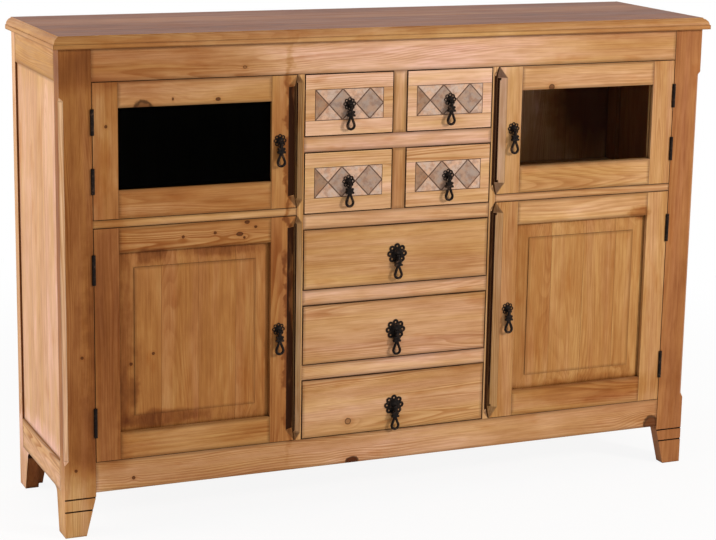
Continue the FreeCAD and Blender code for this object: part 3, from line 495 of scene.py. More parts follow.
@dataclass(frozen=True)
class KnotMark:
    """One knot on the front of a board. Its steps are in radii of the knot."""

    ragged_scale: float = 140.0
    ragged: Triple = (0.4, 0.0, 0.4)
    heart_steps: tuple[float, float] = (0.8, 1.0)
    rim_inner_steps: tuple[float, float] = (0.7, 0.95)
    rim_outer_steps: tuple[float, float] = (1.0, 1.25)
    halo_steps: tuple[float, float] = (0.9, 3.2)
    bend_steps: tuple[float, float] = (0.6, 6.0)

    def make(self) -> bpy.types.NodeTree:
        """Builds the group.

        Returns:
            The node group. It gives the knot's heart, its dark rim, the stain round it and how far it
            bends the grain.
        """
        inputs = {"Vector": VECTOR, "Centre": VECTOR, "Stretch": VECTOR, "Radius": NUMBER}
        outputs = {"Heart": NUMBER, "Rim": NUMBER, "Halo": NUMBER, "Bend": NUMBER}
        tree, given, result = make_group("knot_mark", inputs, outputs)
        away = tree.vector("SUBTRACT", given.outputs["Vector"], given.outputs["Centre"])
        rough = tree.noise(given.outputs["Vector"], self.ragged_scale).outputs["Color"]
        stretched = tree.vector("MULTIPLY", away, given.outputs["Stretch"])
        scaled = tree.vector("DIVIDE", stretched, given.outputs["Radius"])
        radii = tree.length(tree.vector("ADD", scaled, tree.shift(rough, self.ragged)))
        rim_start = tree.ramp(radii, *self.rim_inner_steps)
        rim_end = tree.ramp(radii, *self.rim_outer_steps, 1.0, 0.0)
        tree.feed(result.inputs["Heart"], tree.ramp(radii, *self.heart_steps, 1.0, 0.0))
        tree.feed(result.inputs["Rim"], tree.times(rim_start, rim_end))
        tree.feed(result.inputs["Halo"], tree.ramp(radii, *self.halo_steps, 1.0, 0.0))
        tree.feed(result.inputs["Bend"], tree.ramp(radii, *self.bend_steps, 1.0, 0.0))
        return tree.tree


@dataclass(frozen=True)
class StainAndLightFade:
    """The patches where the stain is paler or darker, with ragged edges; some of them are painted light and shade.
    """

    fades: tuple[Fade, ...]
    ragged_scale: float = 22.0
    ragged: Triple = (0.07, 0.0, 0.03)
    full_within: float = 0.5
    gone_beyond: float = 1.4

    def make(self) -> bpy.types.NodeTree:
        """Builds the group.

        Returns:
            The node group, which gives the change of tone and of flush at a place.
        """
        outputs = {"Tone": NUMBER, "Flush": NUMBER}
        tree, given, result = make_group("stain_fade", {"Vector": VECTOR}, outputs)
        rough = tree.noise(given.outputs["Vector"], self.ragged_scale, 3.0, 0.6).outputs["Color"]
        place = tree.vector("ADD", given.outputs["Vector"], tree.shift(rough, self.ragged))
        tone, flush = 0.0, 0.0
        for fade in self.fades:
            away = tree.vector("SUBTRACT", place, (fade.x, fade.y, fade.z))
            reach = tree.length(tree.vector("DIVIDE", away, (fade.width, fade.depth, fade.height)))
            share = tree.ramp(reach, self.full_within, self.gone_beyond, 1.0, 0.0)
            tone = tree.plus(tone, tree.times(share, fade.tone))
            flush = tree.plus(flush, tree.times(share, fade.flush))
        tree.feed(result.inputs["Tone"], tone)
        tree.feed(result.inputs["Flush"], flush)
        return tree.tree


@dataclass(frozen=True)
class CornerPaintedShade:
    """Painted shade in corners and joints, found by ambient occlusion and made uneven."""

    samples: int = 6
    patch_scale: float = 45.0
    unevenness: float = 0.3
    full_below: float = 0.3
    none_above: float = 0.75

    def make(self) -> bpy.types.NodeTree:
        """Builds the group.

        Returns:
            The node group, which gives how dark the painted shade is.
        """
        inputs = {"Vector": VECTOR, "Reach": NUMBER}
        tree, given, result = make_group("corner_wax", inputs, {"Wax": NUMBER})
        feeds = {"Distance": given.outputs["Reach"]}
        openness = tree.add("ShaderNodeAmbientOcclusion", feeds, samples=self.samples).outputs["AO"]
        patches = tree.noise(given.outputs["Vector"], self.patch_scale).outputs["Fac"]
        level = tree.plus(openness, tree.swing(patches, self.unevenness))
        tree.feed(result.inputs["Wax"], tree.ramp(level, self.full_below, self.none_above, 1.0, 0.0))
        return tree.tree


@dataclass(frozen=True)
class PineGroups:
    """The node groups that every pine finish shares."""

    figure: bpy.types.NodeTree
    knot_mark: bpy.types.NodeTree
    fade: bpy.types.NodeTree
    corner_wax: bpy.types.NodeTree


@dataclass(frozen=True)
class PineFinish:
    """Waxed honey pine with darker late wood, uneven stain, knots, dark wax in its joints and painted shade."""

    name: str
    knots: tuple[Knot, ...] = ()
    shades: tuple[tuple[float, Shade], ...] = (
        (0.0, (0.13, 0.036, 0.01)),
        (0.25, (0.27, 0.098, 0.029)),
        (0.45, (0.4, 0.175, 0.058)),
        (0.65, (0.52, 0.285, 0.12)),
        (0.82, (0.64, 0.385, 0.2)),
        (1.0, (0.8, 0.52, 0.36)),
    )
    ochre: Shade = (1.0, 1.0, 0.84)
    pink: Shade = (1.02, 0.985, 1.2)
    late_wood: Shade = (0.66, 0.48, 0.32)
    fibre_shade: Shade = (0.62, 0.46, 0.3)
    smear_shade: Shade = (0.8, 0.58, 0.36)
    end_shade: Shade = (0.5, 0.3, 0.2)
    # Wax colours. The deep one is also the near-black of painted shade on shaded bevels and in grooves, and it
    # darkens knot rims.
    wax: Shade = (0.055, 0.015, 0.0035)
    deep_wax_and_shade: Shade = (0.022, 0.006, 0.0016)
    knot_heart: Shade = (0.085, 0.021, 0.005)
    knot_halo: Shade = (0.78, 0.58, 0.4)
    blotchiness: float = 0.75
    flush_drift: float = 1.8
    fibre_depth: float = 0.38
    smear_depth: float = 0.45
    halo_depth: float = 0.4
    rim_depth: float = 0.8
    knot_bend: float = 60.0
    # Painted shade in the corners: how dark it is, and how far the ambient occlusion looks.
    corner_wax: float = 0.7
    shade_reach: float = 8.0 * MM
    bump_strength: float = 0.16
    bump_depth: float = 0.6 * MM
    roughness: float = 0.5
    fibre_sheen: float = 0.25
    coat: float = 0.06

    def make(self, groups: PineGroups) -> bpy.types.Material:
        """Builds the material.

        Args:
            groups: the groups that draw the grain, the knots, the fading and the painted corner shade.

        Returns:
            The material.
        """
        material, tree, here = start_material(self.name)
        heart, rim, halo, bend = self.place_knots(tree, here, groups.knot_mark)
        grain = tree.attribute("grain").outputs["Vector"]
        drawn = tree.add("ShaderNodeGroup", {"Vector": grain, "Bend": bend}, node_tree=groups.figure)
        faded = tree.add("ShaderNodeGroup", {"Vector": here}, node_tree=groups.fade)
        colour = self.wood_colour(tree, drawn, faded)
        if self.knots:
            colour = tree.darken(tree.times(halo, self.halo_depth), colour, self.knot_halo)
            colour = tree.mix(heart, colour, (*self.knot_heart, 1.0))
            colour = tree.mix(rim, colour, (*self.deep_wax_and_shade, 1.0))
        # Dark wax together with painted shade from the corners, the grooves and the shaded bevels; past 0.6 it
        # turns near-black.
        wax = self.wax_and_shade_amount(tree, here, drawn, groups.corner_wax)
        wax_and_shade_colour = tree.mix(tree.ramp(wax, 0.6, 1.0), (*self.wax, 1.0), (*self.deep_wax_and_shade, 1.0))
        fibre = drawn.outputs["Fibre"]
        height = tree.plus(tree.times(drawn.outputs["Rings"], 0.5), tree.times(fibre, 0.8))
        bare = tree.math("SUBTRACT", 1.0, wax)
        shader_feeds = {
            "Base Color": tree.mix(wax, colour, wax_and_shade_colour),
            "Roughness": tree.plus(self.roughness, tree.swing(fibre, self.fibre_sheen)),
            "Normal": tree.bump(height, self.bump_strength, self.bump_depth),
            "Coat Weight": tree.times(bare, self.coat),
            "Coat Roughness": 0.3,
            "Specular IOR Level": 0.05,
        }
        tree.show(tree.principled(shader_feeds))
        return material

    def wax_and_shade_amount(
        self,
        tree: ShaderTree,
        here: bpy.types.NodeSocket,
        drawn: bpy.types.Node,
        corner_wax: bpy.types.NodeTree,
    ) -> bpy.types.NodeSocket:
        """How dark the place is painted: painted shade in the corners, and the mesh's stain, with its dark wax and
        painted shade.

        Args:
            tree: the material's tree.
            here: the place on the object.
            drawn: the node that draws the grain.
            corner_wax: the group that paints shade in the corners.

        Returns:
            The socket with the amount.
        """
        feeds = {"Vector": here, "Reach": self.shade_reach}
        corners = tree.add("ShaderNodeGroup", feeds, node_tree=corner_wax)
        uneven = tree.ramp(drawn.outputs["Blotch"], 0.36, 0.6, 0.7, 1.2)
        stain = tree.times(tree.attribute("stain").outputs["Fac"], uneven, clamp=True)
        return tree.larger(tree.times(corners.outputs["Wax"], self.corner_wax), stain)

    def place_knots(
        self, tree: ShaderTree, here: bpy.types.NodeSocket, knot_mark: bpy.types.NodeTree
    ) -> tuple[object, object, object, object]:
        """Places a mark for each knot.

        Args:
            tree: the material's tree.
            here: the place on the object.
            knot_mark: the group that draws one knot.

        Returns:
            The heart, rim, halo and bend of all the knots together.
        """
        heart, rim, halo, bend = 0.0, 0.0, 0.0, 0.0
        for knot in self.knots:
            feeds = {
                "Vector": here,
                "Centre": (knot.x, 0.0, knot.z),
                "Stretch": (1.0 / knot.stretch, 0.0, 1.0),
                "Radius": knot.radius,
            }
            mark = tree.add("ShaderNodeGroup", feeds, node_tree=knot_mark).outputs
            heart = tree.larger(heart, tree.times(mark["Heart"], knot.darkness))
            rim = tree.larger(rim, tree.times(mark["Rim"], self.rim_depth))
            halo = tree.larger(halo, mark["Halo"])
            bend = tree.plus(bend, tree.times(mark["Bend"], knot.radius * self.knot_bend))
        return heart, rim, halo, bend

    def wood_colour(
        self, tree: ShaderTree, drawn: bpy.types.Node, faded: bpy.types.Node
    ) -> bpy.types.NodeSocket:
        """The colour of the wood itself, before knots and wax.

        Args:
            tree: the material's tree.
            drawn: the node that draws the grain.
            faded: the node that gives the fading.

        Returns:
            The socket with the colour.
        """
        rings, fibre, blotch = (drawn.outputs[label] for label in ("Rings", "Fibre", "Blotch"))
        tone, flush, figure, end = (
            tree.attribute(label).outputs["Fac"] for label in ("tone", "flush", "figure", "end")
        )
        stained = tree.plus(tree.plus(tone, tree.swing(blotch, self.blotchiness)), faded.outputs["Tone"])
        drift = tree.swing(drawn.outputs["Flush"], self.flush_drift)
        ruddiness = tree.plus(flush, tree.plus(drift, faded.outputs["Flush"]), clamp=True)
        hue = tree.mix(ruddiness, (*self.ochre, 1.0), (*self.pink, 1.0))
        colour = tree.mix(1.0, self.stain_colour(tree, stained), hue, "MULTIPLY")
        colour = tree.darken(tree.times(rings, figure), colour, self.late_wood)
        colour = tree.darken(tree.ramp(fibre, 0.0, 0.8, self.fibre_depth, 0.0), colour, self.fibre_shade)
        colour = tree.darken(tree.times(drawn.outputs["Smear"], self.smear_depth), colour, self.smear_shade)
        end_dark = tree.times(tree.ramp(end, 0.4, 0.9), tree.ramp(blotch, 0.3, 0.6, 0.8, 0.4))
        return tree.darken(end_dark, colour, self.end_shade)

    def stain_colour(self, tree: ShaderTree, tone: bpy.types.NodeSocket) -> bpy.types.NodeSocket:
        """The stain's colour at a tone.

        Args:
            tree: the material's tree.
            tone: the tone, from 0 for the darkest.

        Returns:
            The socket with the colour.
        """
        node = tree.add("ShaderNodeValToRGB", {"Fac": tone})
        stops = node.color_ramp.elements
        for stop, (position, shade) in zip((stops[0], stops[1]), (self.shades[0], self.shades[-1])):
            stop.position = position
            stop.color = (*shade, 1.0)
        for position, shade in self.shades[1:-1]:
            stops.new(position).color = (*shade, 1.0)
        return node.outputs["Color"]


@dataclass(frozen=True)
class IronFinish:
    """Blackened forged iron, hammered and rubbed brown on its high places."""

    name: str = "forged_iron"
    black: Shade = (0.011, 0.008, 0.007)
    rubbed: Shade = (0.07, 0.038, 0.024)
    hammer_scale: float = 260.0
    forge_scale: float = 900.0
    patch_scale: float = 90.0
    bump_strength: float = 0.6
    bump_depth: float = 0.7 * MM

    def make(self) -> bpy.types.Material:
        """Builds the material.

        Returns:
            The material.
        """
        material, tree, here = start_material(self.name)
        hammered = tree.noise(here, self.hammer_scale, 1.0).outputs["Fac"]
        forged = tree.noise(here, self.forge_scale, 3.0, 0.65).outputs["Fac"]
        patches = tree.noise(here, self.patch_scale, 3.0).outputs["Fac"]
        rubbing = tree.times(tree.ramp(patches, 0.45, 0.7), tree.ramp(hammered, 0.4, 0.65))
        height = tree.plus(hammered, tree.times(forged, 0.25))
        shader_feeds = {
            "Base Color": tree.mix(rubbing, (*self.black, 1.0), (*self.rubbed, 1.0)),
            "Roughness": tree.ramp(forged, 0.3, 0.7, 0.42, 0.65),
            "Metallic": 0.5,
            "Normal": tree.bump(height, self.bump_strength, self.bump_depth),
            "Specular IOR Level": 0.1,
        }
        tree.show(tree.principled(shader_feeds))
        return material


@dataclass(frozen=True)
class StoneFinish:
    """Honed stone tiles in slate, sandstone and cream, with clouds, veins and pits."""

    name: str = "inlay_stone"
    slate: Shade = (0.4, 0.285, 0.22)
    sandstone: Shade = (0.34, 0.2, 0.12)
    cream: Shade = (0.62, 0.43, 0.32)
    grout: Shade = (0.07, 0.028, 0.013)
    warm_hue: Shade = (1.07, 0.97, 0.88)
    cold_hue: Shade = (0.93, 1.0, 1.08)
    patch_shade: Shade = (0.64, 0.5, 0.44)
    vein_shade: Shade = (0.3, 0.18, 0.11)
    pit_shade: Shade = (0.18, 0.11, 0.07)
    cloud_scale: float = 55.0
    grain_scale: float = 420.0
    patch_scale: float = 70.0
    patch_start: Triple = (3.0, 0.0, 1.0)
    vein_width: float = 0.025
    bump_strength: float = 0.25
    bump_depth: float = 0.3 * MM

    def make(self) -> bpy.types.Material:
        """Builds the material.

        Returns:
            The material.
        """
        material, tree, here = start_material(self.name)
        stone = self.stone_colour(tree)
        clouds = tree.noise(here, self.cloud_scale, 4.0, 0.65).outputs["Fac"]
        grains = tree.noise(here, self.grain_scale, 2.0, 0.7).outputs["Fac"]
        hues = tree.multiply(stone, self.cold_hue), tree.multiply(stone, self.warm_hue)
        colour = tree.mix(tree.ramp(clouds, 0.38, 0.62), *hues)
        patch_place = tree.vector("ADD", here, self.patch_start)
        patches = tree.noise(patch_place, self.patch_scale, 3.0, 0.6).outputs["Fac"]
        colour = tree.darken(tree.ramp(patches, 0.45, 0.65, 0.0, 0.6), colour, self.patch_shade)
        off_vein = tree.math("ABSOLUTE", tree.math("SUBTRACT", clouds, 0.5))
        veins = tree.times(tree.ramp(off_vein, 0.0, self.vein_width, 1.0, 0.0), 0.2)
        pits = tree.times(tree.ramp(grains, 0.3, 0.42, 1.0, 0.0), 0.4)
        stain = tree.attribute("stain").outputs["Fac"]
        for amount, shade in ((veins, self.vein_shade), (pits, self.pit_shade), (stain, self.grout)):
            colour = tree.mix(amount, colour, (*shade, 1.0))
        shader_feeds = {
            "Base Color": colour,
            "Roughness": tree.ramp(clouds, 0.3, 0.7, 0.5, 0.7),
            "Normal": tree.bump(grains, self.bump_strength, self.bump_depth),
            "Specular IOR Level": 0.15,
        }
        tree.show(tree.principled(shader_feeds))
        return material

    def stone_colour(self, tree: ShaderTree) -> bpy.types.NodeSocket:
        """The plain colour of the tile's own stone.

        Args:
            tree: the material's tree.

        Returns:
            The socket with the colour.
        """
        node = tree.add("ShaderNodeValToRGB", {"Fac": tree.attribute("tone").outputs["Fac"]})
        stops = node.color_ramp.elements
        stops[0].color = (*self.slate, 1.0)
        stops[1].color = (*self.cream, 1.0)
        stops.new(StoneKind.SANDSTONE.value).color = (*self.sandstone, 1.0)
        return node.outputs["Color"]


@dataclass(frozen=True)
class GlassFinish:
    """Thin window glass with a faint film of dust, which lets daylight into the cupboard behind it."""

    name: str
    tint: Shade
    dust_scale: float = 14.0
    ior: float = 1.06

    def make(self) -> bpy.types.Material:
        """Builds the material.

        Returns:
            The material.
        """
        material, tree, here = start_material(self.name)
        dust = tree.noise(here, self.dust_scale, 4.0, 0.6).outputs["Fac"]
        shader_feeds = {
            "Base Color": (*self.tint, 1.0),
            "Roughness": tree.ramp(dust, 0.4, 0.7, 0.0, 0.03),
            "IOR": self.ior,
            "Transmission Weight": 1.0,
        }
        pane = tree.principled(shader_feeds)
        clear = tree.add("ShaderNodeBsdfTransparent", {"Color": (*self.tint, 1.0)}).outputs["BSDF"]
        rays = tree.add("ShaderNodeLightPath").outputs
        passed = tree.larger(rays["Is Shadow Ray"], rays["Is Diffuse Ray"])
        mixed = tree.add("ShaderNodeMixShader", {0: passed, 1: pane, 2: clear})
        tree.show(mixed.outputs["Shader"])
        return material


@dataclass(frozen=True)
class FillerFinish:
    """The dark wax filler between the tiles."""

    name: str = "joint_filler"
    colour: Shade = (0.1, 0.045, 0.024)
    dust: Shade = (0.18, 0.09, 0.05)
    grain_scale: float = 300.0
    bump_strength: float = 0.4
    bump_depth: float = 0.4 * MM

    def make(self) -> bpy.types.Material:
        """Builds the material.

        Returns:
            The material.
        """
        material, tree, here = start_material(self.name)
        uneven = tree.noise(here, self.grain_scale, 3.0).outputs["Fac"]
        shader_feeds = {
            "Base Color": tree.mix(tree.ramp(uneven, 0.35, 0.65), (*self.colour, 1.0), (*self.dust, 1.0)),
            "Roughness": 0.7,
            "Normal": tree.bump(uneven, self.bump_strength, self.bump_depth),
        }
        tree.show(tree.principled(shader_feeds))
        return material


class Finishes:
    """Every finish of the highboard, made once."""

    # Painted shade reaches further round a door's panel.
    panel_shade_reach: float = 16.0 * MM
    top_coat: float = 0.13

    def __init__(self) -> None:
        """Builds the shared groups and the plain materials."""
        groups = (PineFigure(), KnotMark(), StainAndLightFade(FADES), CornerPaintedShade())
        self.groups = PineGroups(*(group.make() for group in groups))
        self.plain_pine = self.pine(PineFinish("waxed_pine"))
        self.iron = IronFinish().make()
        self.stone = StoneFinish().make()
        self.filler = FillerFinish().make()
        # The left pane's dark tint is painted shade for the cupboard behind it.
        self.smoked_glass = GlassFinish("smoked_glass", (0.08, 0.09, 0.1)).make()
        self.clear_glass = GlassFinish("clear_glass", (0.93, 0.94, 0.92)).make()

    def pine(self, finish: PineFinish) -> bpy.types.Material:
        """Makes one pine material from the shared groups."""
        return finish.make(self.groups)

    def pine_for(self, node: str, knots: tuple[Knot, ...]) -> bpy.types.Material:
        """The pine of one node: painted shade reaching further round a door's panel, a polish on the top, knots,
        or plain.

        Args:
            node: the CAD node.
            knots: its knots.

        Returns:
            The material.
        """
        if node.endswith("_door_panel"):
            return self.pine(PineFinish(f"waxed_pine_{node}", knots, shade_reach=self.panel_shade_reach))
        if node == "top_panel":
            return self.pine(PineFinish(f"polished_pine_{node}", knots, coat=self.top_coat))
        return self.pine(PineFinish(f"waxed_pine_{node}", knots)) if knots else self.plain_pine


def islands(mesh: bmesh.types.BMesh) -> list[list[bmesh.types.BMFace]]:
    """The faces of each separate board in a mesh.

    Args:
        mesh: the mesh to look through.

    Returns:
        One list of faces for each board.
    """
    left = set(mesh.faces)
    found = []
    while left:
        start = min(left, key=lambda face: face.index)
        left.discard(start)
        board, reached = [start], [start]
        while reached:
            for edge in reached.pop().edges:
                if len(edge.link_faces) > 2:
                    continue
                for face in edge.link_faces:
                    if face in left:
                        left.discard(face)
                        board.append(face)
                        reached.append(face)
        found.append(board)
    return found


def extent(faces: list[bmesh.types.BMFace]) -> tuple[Vector, Vector]:
    """The box round some faces.

    Args:
        faces: the faces to measure.

    Returns:
        The lowest and the highest corner.
    """
    places = [vert.co for face in faces for vert in face.verts]
    low = Vector([min(place[axis] for place in places) for axis in range(3)])
    high = Vector([max(place[axis] for place in places) for axis in range(3)])
    return low, high


def round_edges(
    mesh: bmesh.types.BMesh, edges: list[bmesh.types.BMEdge], offset: float, segments: int = 2
) -> list[bmesh.types.BMFace]:
    """Rounds some edges of a mesh.

    Args:
        mesh: the mesh to change.
        edges: the edges to round.
        offset: how far the rounding reaches from an edge.
        segments: how many faces it has across.

    Returns:
        The new faces.
    """
    rounded = bmesh.ops.bevel(
        mesh,
        geom=edges,
        offset=offset,
        offset_type="OFFSET",
        segments=segments,
        profile=0.5,
        affect="EDGES",
        clamp_overlap=True,
        material=-1,
    )
    return rounded["faces"]


def put_in_scene(name: str, data: bpy.types.ID) -> bpy.types.Object:
    """Makes an object of a mesh, lamp or camera and links it to the scene.

    Args:
        name: the object's name.
        data: the mesh, lamp or camera.

    Returns:
        The new object.
    """
    thing = bpy.data.objects.new(name, data)
    bpy.context.scene.collection.objects.link(thing)
    return thing


def add_piece(
    mesh: bmesh.types.BMesh, name: str, material: bpy.types.Material, body: str
) -> bpy.types.Object:
    """Turns a finished mesh into a piece of the highboard.

    Args:
        mesh: the mesh, which is used up.
        name: the piece's name.
        material: its finish.
        body: the body that it rides on.

    Returns:
        The new object.
    """
    data = bpy.data.meshes.new(name)
    mesh.to_mesh(data)
    mesh.free()
    data.materials.append(material)
    piece = put_in_scene(name, data)
    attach(piece, body)
    return piece


def dress_node(node: str, material: bpy.types.Material) -> None:
    """Gives a CAD node that stays in view its finish.

    Args:
        node: the CAD node.
        material: its finish.
    """
    materials = frame["nodes"][node].data.materials
    materials.clear()
    materials.append(material)


class BoardMarks:
    """The attributes that a mesh of boards carries for the pine finish."""

    def __init__(self, mesh: bmesh.types.BMesh) -> None:
        """Adds the attributes to a mesh.

        Args:
            mesh: the mesh to mark.
        """
        self.grain = mesh.loops.layers.float_vector.new("grain")
        # The stain holds dark wax, and also painted shade on grooves and bevels, and partly along arrises.
        self.stain = mesh.loops.layers.float.new("stain")
        layers = mesh.faces.layers.float
        self.tone = layers.new("tone")
        self.flush = layers.new("flush")
        self.figure = layers.new("figure")
        self.end = layers.new("end")

    def stain_face(self, face: bmesh.types.BMFace, amount: float) -> None:
        """Stains a whole face."""
        for loop in face.loops:
            loop[self.stain] = amount


@dataclass
class Joiner:
    """Finishes the boards of a CAD node: softened arrises, glued staves and a figure for each board.

    A wax value is how dark a place is painted: dark wax, and on grooves and bevels painted shade. A turn is how
    far a face's normal points along an axis.
    """

    finishes: Finishes
    arris: float = 0.9 * MM
    narrowest: float = 3.2 * MM
    shortest: float = 9.0 * MM
    flat_angle: float = math.radians(1.0)
    sharp_angle: float = math.radians(20.0)
    square_slack: float = 0.03
    smear: float = 7.0 * MM
    smear_share: float = 0.25
    # Arrises get dark wax that is partly painted shade along the gaps between parts.
    arris_wax_and_shade: float = 0.42
    edge_wax: float = 0.45
    seam_wax: float = 0.6
    # Painted shade on the narrow sides of grooves and steps.
    groove_round: float = 60.0 * MM
    groove_shade: float = 1.1
    # Painted shade on the front bevels: full on the shaded ones, lighter on their stops, almost none on the fronts
    # of those that face the light.
    bevel_shade: float = 1.12
    stop_shade: float = 0.62
    clean_wax: float = 0.04
    shaded_from: tuple[float, ...] = (0.55, 0.63)
    steepest_front: float = -0.97
    flattest_front: float = -0.3
    side_turn: float = 0.35
    stop_turn: float = 0.2
    inner_turn: float = 0.5
    pith_distances: tuple[float, float] = (0.08, 0.26)
    pith_turns: tuple[float, float] = (-1.2, 1.2)
    log_places: tuple[float, float] = (0.0, 40.0)
    flush_changes: tuple[float, float] = (-0.12, 0.12)
    figure_changes: tuple[float, float] = (-0.2, 0.3)
    chance: random.Random = field(default_factory=lambda: random.Random(11))

    def boards_of(self, node: str) -> bmesh.types.BMesh:
        """A merged copy of a node's mesh, with one face to each flat side.

        Args:
            node: the CAD node.

        Returns:
            The copy, with each of its boards apart from the others.
        """
        mesh = bmesh.new()
        mesh.from_mesh(frame["nodes"][node].data)
        bmesh.ops.remove_doubles(mesh, verts=mesh.verts, dist=WELD)
        mesh.faces.index_update()
        for board in islands(mesh):
            corners = {vert for face in board for vert in face.verts}
            edges = {edge for face in board for edge in face.edges}
            bmesh.ops.split(mesh, geom=[*corners, *edges, *board])
        bmesh.ops.dissolve_limit(mesh, angle_limit=self.flat_angle, verts=mesh.verts, edges=mesh.edges)
        mesh.faces.index_update()
        return mesh

    def soften(self, mesh: bmesh.types.BMesh, marks: BoardMarks, arris: float) -> None:
        """Rounds the arrises that are long enough and lie between wide faces, and darkens them: dark wax, partly
        painted shade along the gaps between parts.

        Args:
            mesh: the mesh to change.
            marks: its attributes.
            arris: how far the rounding reaches from the edge.
        """
        for board in islands(mesh):
            edges = {edge for face in board for edge in face.edges if len(edge.link_faces) == 2}
            sharp = [edge for edge in edges if self.can_soften(edge)]
            sharp.sort(key=lambda edge: (tuple(edge.verts[0].co), tuple(edge.verts[1].co)))
            for face in round_edges(mesh, sharp, arris):
                marks.stain_face(face, self.arris_wax_and_shade)
            mesh.faces.index_update()

    def can_soften(self, edge: bmesh.types.BMEdge) -> bool:
        """Whether an edge is a real arris between faces that are wide enough.

        Args:
            edge: the edge to judge.

        Returns:
            Whether it may be rounded.
        """
        if edge.calc_length() < self.shortest or edge.calc_face_angle(0.0) < self.sharp_angle:
            return False
        return all(self.width_of(face) >= self.narrowest for face in edge.link_faces)

    @staticmethod
    def width_of(face: bmesh.types.BMFace) -> float:
        """How wide a face is across its longest side."""
        return face.calc_area() / max(side.calc_length() for side in face.edges)

    def paint_groove_shade(self, mesh: bmesh.types.BMesh, marks: BoardMarks) -> None:
        """Paints the narrow sides of grooves and steps near-black: painted shade in the grooves.

        Args:
            mesh: the mesh to mark.
            marks: its attributes.
        """
        for face in mesh.faces:
            if self.width_of(face) < self.narrowest and face.calc_perimeter() > self.groove_round:
                marks.stain_face(face, self.groove_shade)

    def smear_edges(self, mesh: bmesh.types.BMesh, marks: BoardMarks, wax: float) -> None:
        """Leaves wax along the edges of plain four-sided faces, fading towards their middles.

        Args:
            mesh: the mesh to change.
            marks: its attributes.
            wax: how dark the edges are.
        """
        widest = self.narrowest * 2
        plain = [face for face in mesh.faces if self.is_oblong(face) and self.width_of(face) > widest]
        for face in plain:
            reach = min(self.smear, self.width_of(face) * self.smear_share)
            made = bmesh.ops.inset_individual(mesh, faces=[face], thickness=reach, use_even_offset=True)
            inner = set(face.verts)
            for band in made["faces"]:
                for loop in band.loops:
                    loop[marks.stain] = 0.0 if loop.vert in inner else wax
            marks.stain_face(face, 0.0)

    def is_oblong(self, face: bmesh.types.BMFace) -> bool:
        """Whether a face has four corners, each close to a right angle.

        Args:
            face: the face to judge.

        Returns:
            Whether it is an oblong.
        """
        square = math.radians(90.0)
        slack = self.square_slack
        return len(face.verts) == 4 and all(abs(loop.calc_angle() - square) < slack for loop in face.loops)

    def paint_bevel_shade(self, mesh: bmesh.types.BMesh, marks: BoardMarks) -> None:
        """Paints shade on the front bevels: deep down on those that face left, where the board beside them shades
        them, and all over on the others, which face away from the light.

        Args:
            mesh: the mesh to mark.
            marks: its attributes.
        """
        low, high = extent([face for face in mesh.faces if self.is_bevel(face)])
        lines = [low.y + (high.y - low.y) * share for share in self.shaded_from]
        for line in lines:
            lit = [face for face in mesh.faces if self.is_lit(face)]
            cut = {part for face in lit for part in (face, *face.edges, *face.verts)}
            place = Vector((0.0, line, 0.0))
            bmesh.ops.bisect_plane(
                mesh, geom=list(cut), dist=CUT_SLACK, plane_co=place, plane_no=(0.0, 1.0, 0.0)
            )
        mesh.normal_update()
        for face in mesh.faces:
            if not self.is_bevel(face):
                continue
            # Painted shade: lighter on the stops, almost none on the clean front of a bevel that faces left.
            wax = self.stop_shade if abs(face.normal.z) > self.stop_turn else self.bevel_shade
            for loop in face.loops:
                clean = self.is_lit(face) and loop.vert.co.y < lines[-1] - WELD
                loop[marks.stain] = self.clean_wax if clean else wax

    def is_bevel(self, face: bmesh.types.BMFace) -> bool:
        """Whether a face is one of the front bevels or of their stops."""
        slanted = self.steepest_front < face.normal.y < self.flattest_front
        return slanted and self.width_of(face) > self.narrowest

    def is_lit(self, face: bmesh.types.BMFace) -> bool:
        """Whether a face is a bevel that is turned to the left."""
        turned = face.normal.x < -self.side_turn and abs(face.normal.z) < self.stop_turn
        return turned and self.is_bevel(face)

    @staticmethod
    def split_staves(mesh: bmesh.types.BMesh, staves: Staves) -> None:
        """Cuts narrow seams across a glued-up board.

        Args:
            mesh: the mesh to cut.
            staves: where the joints lie.
        """
        normal = Vector([1.0 if axis == staves.axis.value else 0.0 for axis in range(3)])
        for joint in staves.joints:
            for side in (-0.5, 0.5):
                geometry = [*mesh.verts, *mesh.edges, *mesh.faces]
                place = normal * (joint + staves.seam * side)
                bmesh.ops.bisect_plane(
                    mesh, geom=geometry, dist=CUT_SLACK, plane_co=place, plane_no=normal
                )

    def mark_grain(
        self, mesh: bmesh.types.BMesh, marks: BoardMarks, timber: Timber, staves: Staves | None
    ) -> None:
        """Writes the grain, tone, end grain and seams of every board into the mesh.

        Args:
            mesh: the mesh to mark.
            marks: its attributes.
            timber: the tones of its boards.
            staves: where its glued joints lie, if it has any.
        """
        for board in islands(mesh):
            low, high = extent(board)
            size = high - low
            axes = [axis for axis in range(3) if staves is None or axis != staves.axis.value]
            way = Way(max(axes, key=lambda axis: size[axis]))
            for stave in self.sort_by_stave(board, staves):
                if stave:
                    self.mark_board(stave, marks, way, timber)
            if staves is None:
                continue
            for face in board:
                place = face.calc_center_median()[staves.axis.value]
                if any(abs(place - joint) < staves.seam * 0.5 for joint in staves.joints):
                    marks.stain_face(face, self.seam_wax)

    @staticmethod
    def sort_by_stave(
        board: list[bmesh.types.BMFace], staves: Staves | None
    ) -> list[list[bmesh.types.BMFace]]:
        """Sorts the faces of a board into its staves.

        Args:
            board: the faces of the board.
            staves: where its glued joints lie, if it has any.

        Returns:
            One list of faces for each stave.
        """
        if staves is None:
            return [board]
        sorted_faces: list[list[bmesh.types.BMFace]] = [[] for _ in range(len(staves.joints) + 1)]
        for face in board:
            place = face.calc_center_median()[staves.axis.value]
            sorted_faces[sum(place > joint for joint in staves.joints)].append(face)
        return sorted_faces

